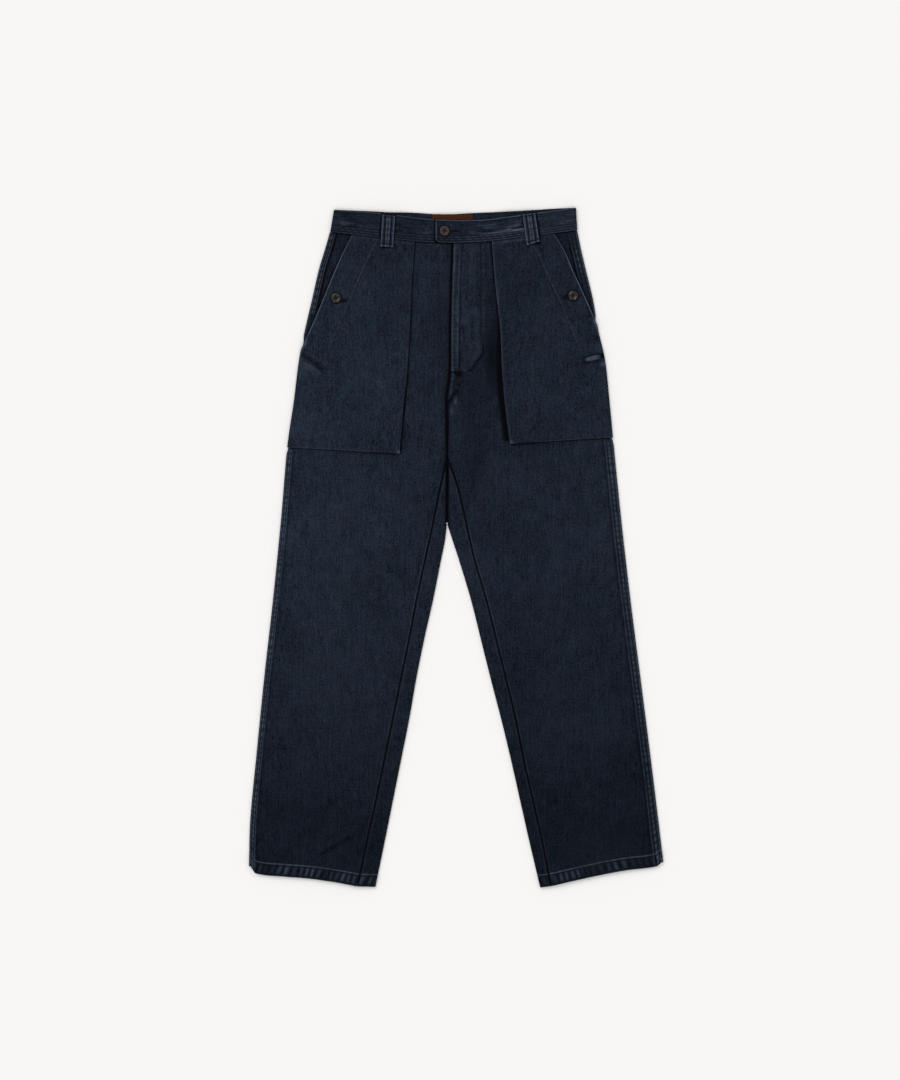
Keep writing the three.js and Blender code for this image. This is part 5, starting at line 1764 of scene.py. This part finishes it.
def sew_front(sewing):
    """The fly, the pockets' facings, the tacks and the buttonholes."""
    y = np.linspace(484, FLY_CORNER["y"] + 4, 80)
    edge = middle_front(y)
    for off in FLY_ROWS:
        sewing.row(np.stack([edge + off, y], 1), 3)
    turn = np.radians(np.linspace(0, -90, 24))
    for inset in CURVE_ROWS:
        radius = FLY_CORNER["radius"] + inset
        middle_x, middle_y = FLY_CORNER["x"] - FLY_CORNER["radius"], FLY_CORNER["y"] + FLY_CORNER["radius"]
        straight = [(middle_x + radius, at) for at in np.linspace(486, middle_y + 1, 60)]
        curved = [(middle_x + radius * math.cos(a), middle_y + radius * math.sin(a)) for a in turn]
        sewing.row(straight + curved + [(0, middle_y - radius)], 3)
    crotch = np.linspace(FLY_CORNER["y"] - 4, FLY_FOOT + 4, 20)
    for off in CROTCH_ROWS:
        sewing.row(np.stack([middle_front(crotch) + off, crotch], 1), 3)
    for tack in FLY_TACKS:
        sewing.tack(**tack)
    for side in SIDES:
        y = np.linspace(492, FACING_FOOT[side.name], 70)
        sewing.row(np.stack([side.sign * (slant[side.name](y) - FACING), y], 1), 3.4)
        sewing.buttonhole(**BUTTONHOLES[side.name])
    tilt = math.degrees(math.atan(BAR["slope"]))
    for way in (-1, 1):
        x = BAR["x"] + way * (BAR["length"] / 2 - 1)
        sewing.tack(x, BAR["y"] + BAR["slope"] * (x - BAR["x"]), tilt + 90, BAR["height"] + 1, 3)


def sew_band(sewing):
    """Rows along the waistband, the tab's end, the belt loops and the waist buttonhole."""
    for side in SIDES:
        start = TAB_END + 3 if side is LEFT else -TAB_END + 4
        x = side.sign * np.linspace(start, side.band_end - 5, 120)
        for height in BAND_ROWS:
            sewing.row(np.stack([x, y_of_band(x, height)], 1), 3.1)
    heights = np.linspace(6, 33, 10)
    x = np.full(10, TAB_END + 3.4)
    sewing.row(np.stack([x, y_of_band(x, heights)], 1), 3)
    for loop in FRONT_LOOPS.each():
        share = np.linspace(0.02, 0.97, 12)
        for across in LOOP_ROWS:
            x = mix(loop["top_x"], loop["foot_x"], share) + across
            slope = mix(loop["top_slope"], loop["foot_slope"], share)
            y = mix(loop["top_y"], loop["foot_y"], share) + slope * across
            sewing.row(np.stack([x, y], 1), 3.2)
        turn = math.degrees(math.atan(loop["foot_slope"]))
        sewing.tack(loop["foot_x"], loop["foot_y"] + 4, turn, 17, 2.4)
        sewing.tack(loop["top_x"], loop["top_y"] - 3, math.degrees(math.atan(loop["top_slope"])), 17, 2.4)
    sewing.buttonhole(**BUTTONHOLES["waist"])


# A button's profile, from the middle of its underside out, up and in
BUTTON_PROFILE = (
    (0, 0), (3, 0), (5.6, 0.05), (6.8, 0.25), (7.5, 0.7), (7.9, 1.15), (8, 1.6), (7.9, 2), (7.6, 2.3),
    (7.1, 2.55), (6.4, 2.85), (5.9, 2.99), (5.4, 2.96), (4.9, 2.78), (4.2, 2.48), (3.5, 2.18), (2.9, 1.96),
    (2.2, 1.84), (0, 1.8),
)
BUTTON_CORNERS = 96
BUTTON_HOLE = {"radius": 1.1, "offset": 1.85, "corners": 24, "low": -1, "high": 5}
BUTTON_THREAD = {"radius": 0.32, "height": 2.15, "layer": 0.12, "apart": 0.45}


def solid(name, points, faces):
    """An object from points in millimetres and faces of any number of corners."""
    mesh = bpy.data.meshes.new(name)
    mesh.from_pydata((np.array(points) * MM).tolist(), [], faces)
    item = bpy.data.objects.new(name, mesh)
    bpy.context.scene.collection.objects.link(item)
    return item


def lathe(profile, count):
    """Points and faces of a profile turned about the Z axis."""
    angles = np.linspace(0, 2 * math.pi, count, endpoint=False)
    across, aside = np.cos(angles), np.sin(angles)
    rings = [np.stack([r * across, r * aside, np.full(count, z)], 1) for r, z in profile[1:-1]]
    points = np.concatenate(rings + [np.array([(0, 0, profile[0][1]), (0, 0, profile[-1][1])])])
    faces = []
    for ring in range(len(rings) - 1):
        for i in range(count):
            a, b = ring * count + i, ring * count + (i + 1) % count
            faces.append((a, b, b + count, a + count))
    bottom, top, last = len(points) - 2, len(points) - 1, (len(rings) - 1) * count
    for i in range(count):
        j = (i + 1) % count
        faces.append((bottom, j, i))
        faces.append((top, last + i, last + j))
    return points, faces


def rod(x, y):
    """What a button's hole takes away."""
    count, radius = BUTTON_HOLE["corners"], BUTTON_HOLE["radius"]
    angles = np.linspace(0, 2 * math.pi, count, endpoint=False)
    ring = [(x + radius * math.cos(a), y + radius * math.sin(a)) for a in angles]
    points = [(*corner, z) for z in (BUTTON_HOLE["low"], BUTTON_HOLE["high"]) for corner in ring]
    sides = [(i, (i + 1) % count, count + (i + 1) % count, count + i) for i in range(count)]
    ends = [tuple(range(count - 1, -1, -1)), tuple(range(count, 2 * count))]
    return solid("drill", points, sides + ends)


def drill(item):
    """Cuts four holes."""
    offset = BUTTON_HOLE["offset"]
    rods = [rod(sx * offset, sy * offset) for sx in (1, -1) for sy in (1, -1)]
    for taken in rods:
        cut = item.modifiers.new("drill", "BOOLEAN")
        cut.object = taken
        cut.solver = "EXACT"
    graph = bpy.context.evaluated_depsgraph_get()
    drilled = bpy.data.meshes.new_from_object(item.evaluated_get(graph))
    item.modifiers.clear()
    item.data = drilled
    for taken in rods:
        bpy.data.objects.remove(taken)


def button(node, turn, material):
    """A four-hole button with a rounded rim and a dished middle, turned on a lathe and drilled."""
    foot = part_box(node)[0][2]
    x, y = button_place(node.replace("button_", ""))
    item = solid(f"{node}_body", *lathe(BUTTON_PROFILE, BUTTON_CORNERS))
    drill(item)
    item.data.shade_smooth()
    item.data.set_sharp_from_angle(angle=math.radians(40))
    item.location = (x * MM, y * MM, foot)
    item.rotation_euler[2] = turn
    place(item, node, "waist_button" if node == "button_waist" else "pocket_button", material)
    return thread_cross(np.array([x, y]), foot / MM + BUTTON_THREAD["height"], turn)


def thread_cross(centre, height, turn):
    """Three threads each way between a button's holes, one way over the other."""
    c, s = math.cos(turn), math.sin(turn)
    spin = np.array([[c, -s], [s, c]])
    reach = BUTTON_HOLE["offset"] * math.sqrt(2) - 0.1
    starts, ends = [], []
    for layer, way in enumerate((1, -1)):
        axis, aside = np.array([1, way]) / math.sqrt(2), np.array([-way, 1]) / math.sqrt(2)
        z = height + layer * BUTTON_THREAD["layer"]
        for shift in (-1, 0, 1):
            off = shift * BUTTON_THREAD["apart"] * aside
            starts.append((*(centre + spin @ (off - reach * axis)), z))
            ends.append((*(centre + spin @ (off + reach * axis)), z))
    return threads(np.array(starts), np.array(ends), BUTTON_THREAD["radius"])


def trim(item, material):
    """A piece that moves with the body."""
    item.data.materials.append(material)
    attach(item, "root")
    return item


def place(item, node, slot, material):
    """Puts a piece in place of the solid that it stands for."""
    trim(item, material)
    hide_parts(node)
    return item


def camera():
    data = bpy.data.cameras.new("camera")
    data.lens = SENSOR * CAMERA_HEIGHT / FRAME_HEIGHT
    data.sensor_width = SENSOR
    data.clip_end = 100
    item = bpy.data.objects.new("camera", data)
    item.location = (FRAME_MIDDLE[0] * MM, FRAME_MIDDLE[1] * MM, CAMERA_HEIGHT * MM)
    bpy.context.scene.collection.objects.link(item)
    bpy.context.scene.camera = item


SKY = {"Color": (1, 0.995, 0.985, 1), "Strength": 0.845}

# Lamps: name, strength, size in degrees, and tilts about X and Y in degrees
LAMPS = (
    ("upper_left", 1.13, 40, (-32, -30)),
    ("lower_left", 0.3, 7, (34, -34)),
    ("lower_right", 0.3, 7, (34, 34)),
)


def studio():
    """An even white sky, a broad, soft lamp high at the upper left, and two small, weak ones low in front."""
    scene = bpy.context.scene
    scene.view_settings.view_transform = "Standard"
    world = bpy.data.worlds.new("studio")
    world.use_nodes = True
    for name, value in SKY.items():
        world.node_tree.nodes["Background"].inputs[name].default_value = value
    scene.world = world
    for name, energy, size, tilt in LAMPS:
        data = bpy.data.lights.new(name, "SUN")
        data.energy = energy
        data.angle = math.radians(size)
        lamp = bpy.data.objects.new(name, data)
        lamp.rotation_euler = (math.radians(tilt[0]), math.radians(tilt[1]), 0)
        scene.collection.objects.link(lamp)
    corners = FLOOR_REACH * np.array([(-1, -1, 0), (1, -1, 0), (1, 1, 0), (-1, 1, 0)])
    floor = mesh_object("floor", corners, np.array([[0, 1, 2, 3]]))
    floor.location.z = -FLOOR_GAP * MM
    floor.data.materials.append(floor_material())


def laid(piece):
    return piece


camera()
studio()
twill = cloth_material("navy_twill")
band_twill = cloth_material("navy_twill_across", sideways=True)
thread = thread_material()
cloth, fronts, bands = [], {}, {}
for side in SIDES:
    back = place(back_panel(side), f"back_{side.name}", "navy_cotton", twill)
    front = place(front_panel(side), f"front_{side.name}", "navy_cotton", twill)
    patch = place(pocket(side), f"pocket_{side.name}", "navy_cotton", twill)
    band = place(waistband(side), f"waistband_{side.name}", "navy_cotton", band_twill)
    laid(back)
    laid(front)
    laid(patch)
    laid(band)
    cloth += [back, front, patch, band]
    fronts[side.name], bands[side.name] = front, band
shield = place(fly_shield(), "fly_shield", "navy_cotton", twill)
laid(shield)
label = place(waist_label(), "waist_label", "woven_label", label_material())
laid(label)
for loop, side in zip(FRONT_LOOPS.each(), SIDES):
    item = place(front_loop(loop), f"belt_loop_front_{side.name}", "navy_cotton", twill)
    cloth.append(laid(item))
for name, x in BACK_LOOPS.items():
    item = place(back_loop(name, x), f"belt_loop_back_{name}", "navy_cotton", twill)
    laid(item)

horn = horn_material("horn", **HORN)
dull_horn = horn_material("dull_horn", **DULL_HORN)
crosses = {
    "waist": button("button_waist", turn=0.5, material=dull_horn),
    "left": button("button_pocket_left", turn=0.2, material=horn),
    "right": button("button_pocket_right", turn=-0.4, material=horn),
}
seat = Seat(cloth)
sewn("sewing_left", seat, thread, sew_leg, LEFT)
sewn("sewing_right", seat, thread, sew_leg, RIGHT)
sewn("sewing_front", seat, thread, sew_front)
sewn("sewing_waist", seat, thread, sew_band)
for name, (points, faces) in crosses.items():
    trim(mesh_object(f"button_thread_{name}", points, faces), thread)
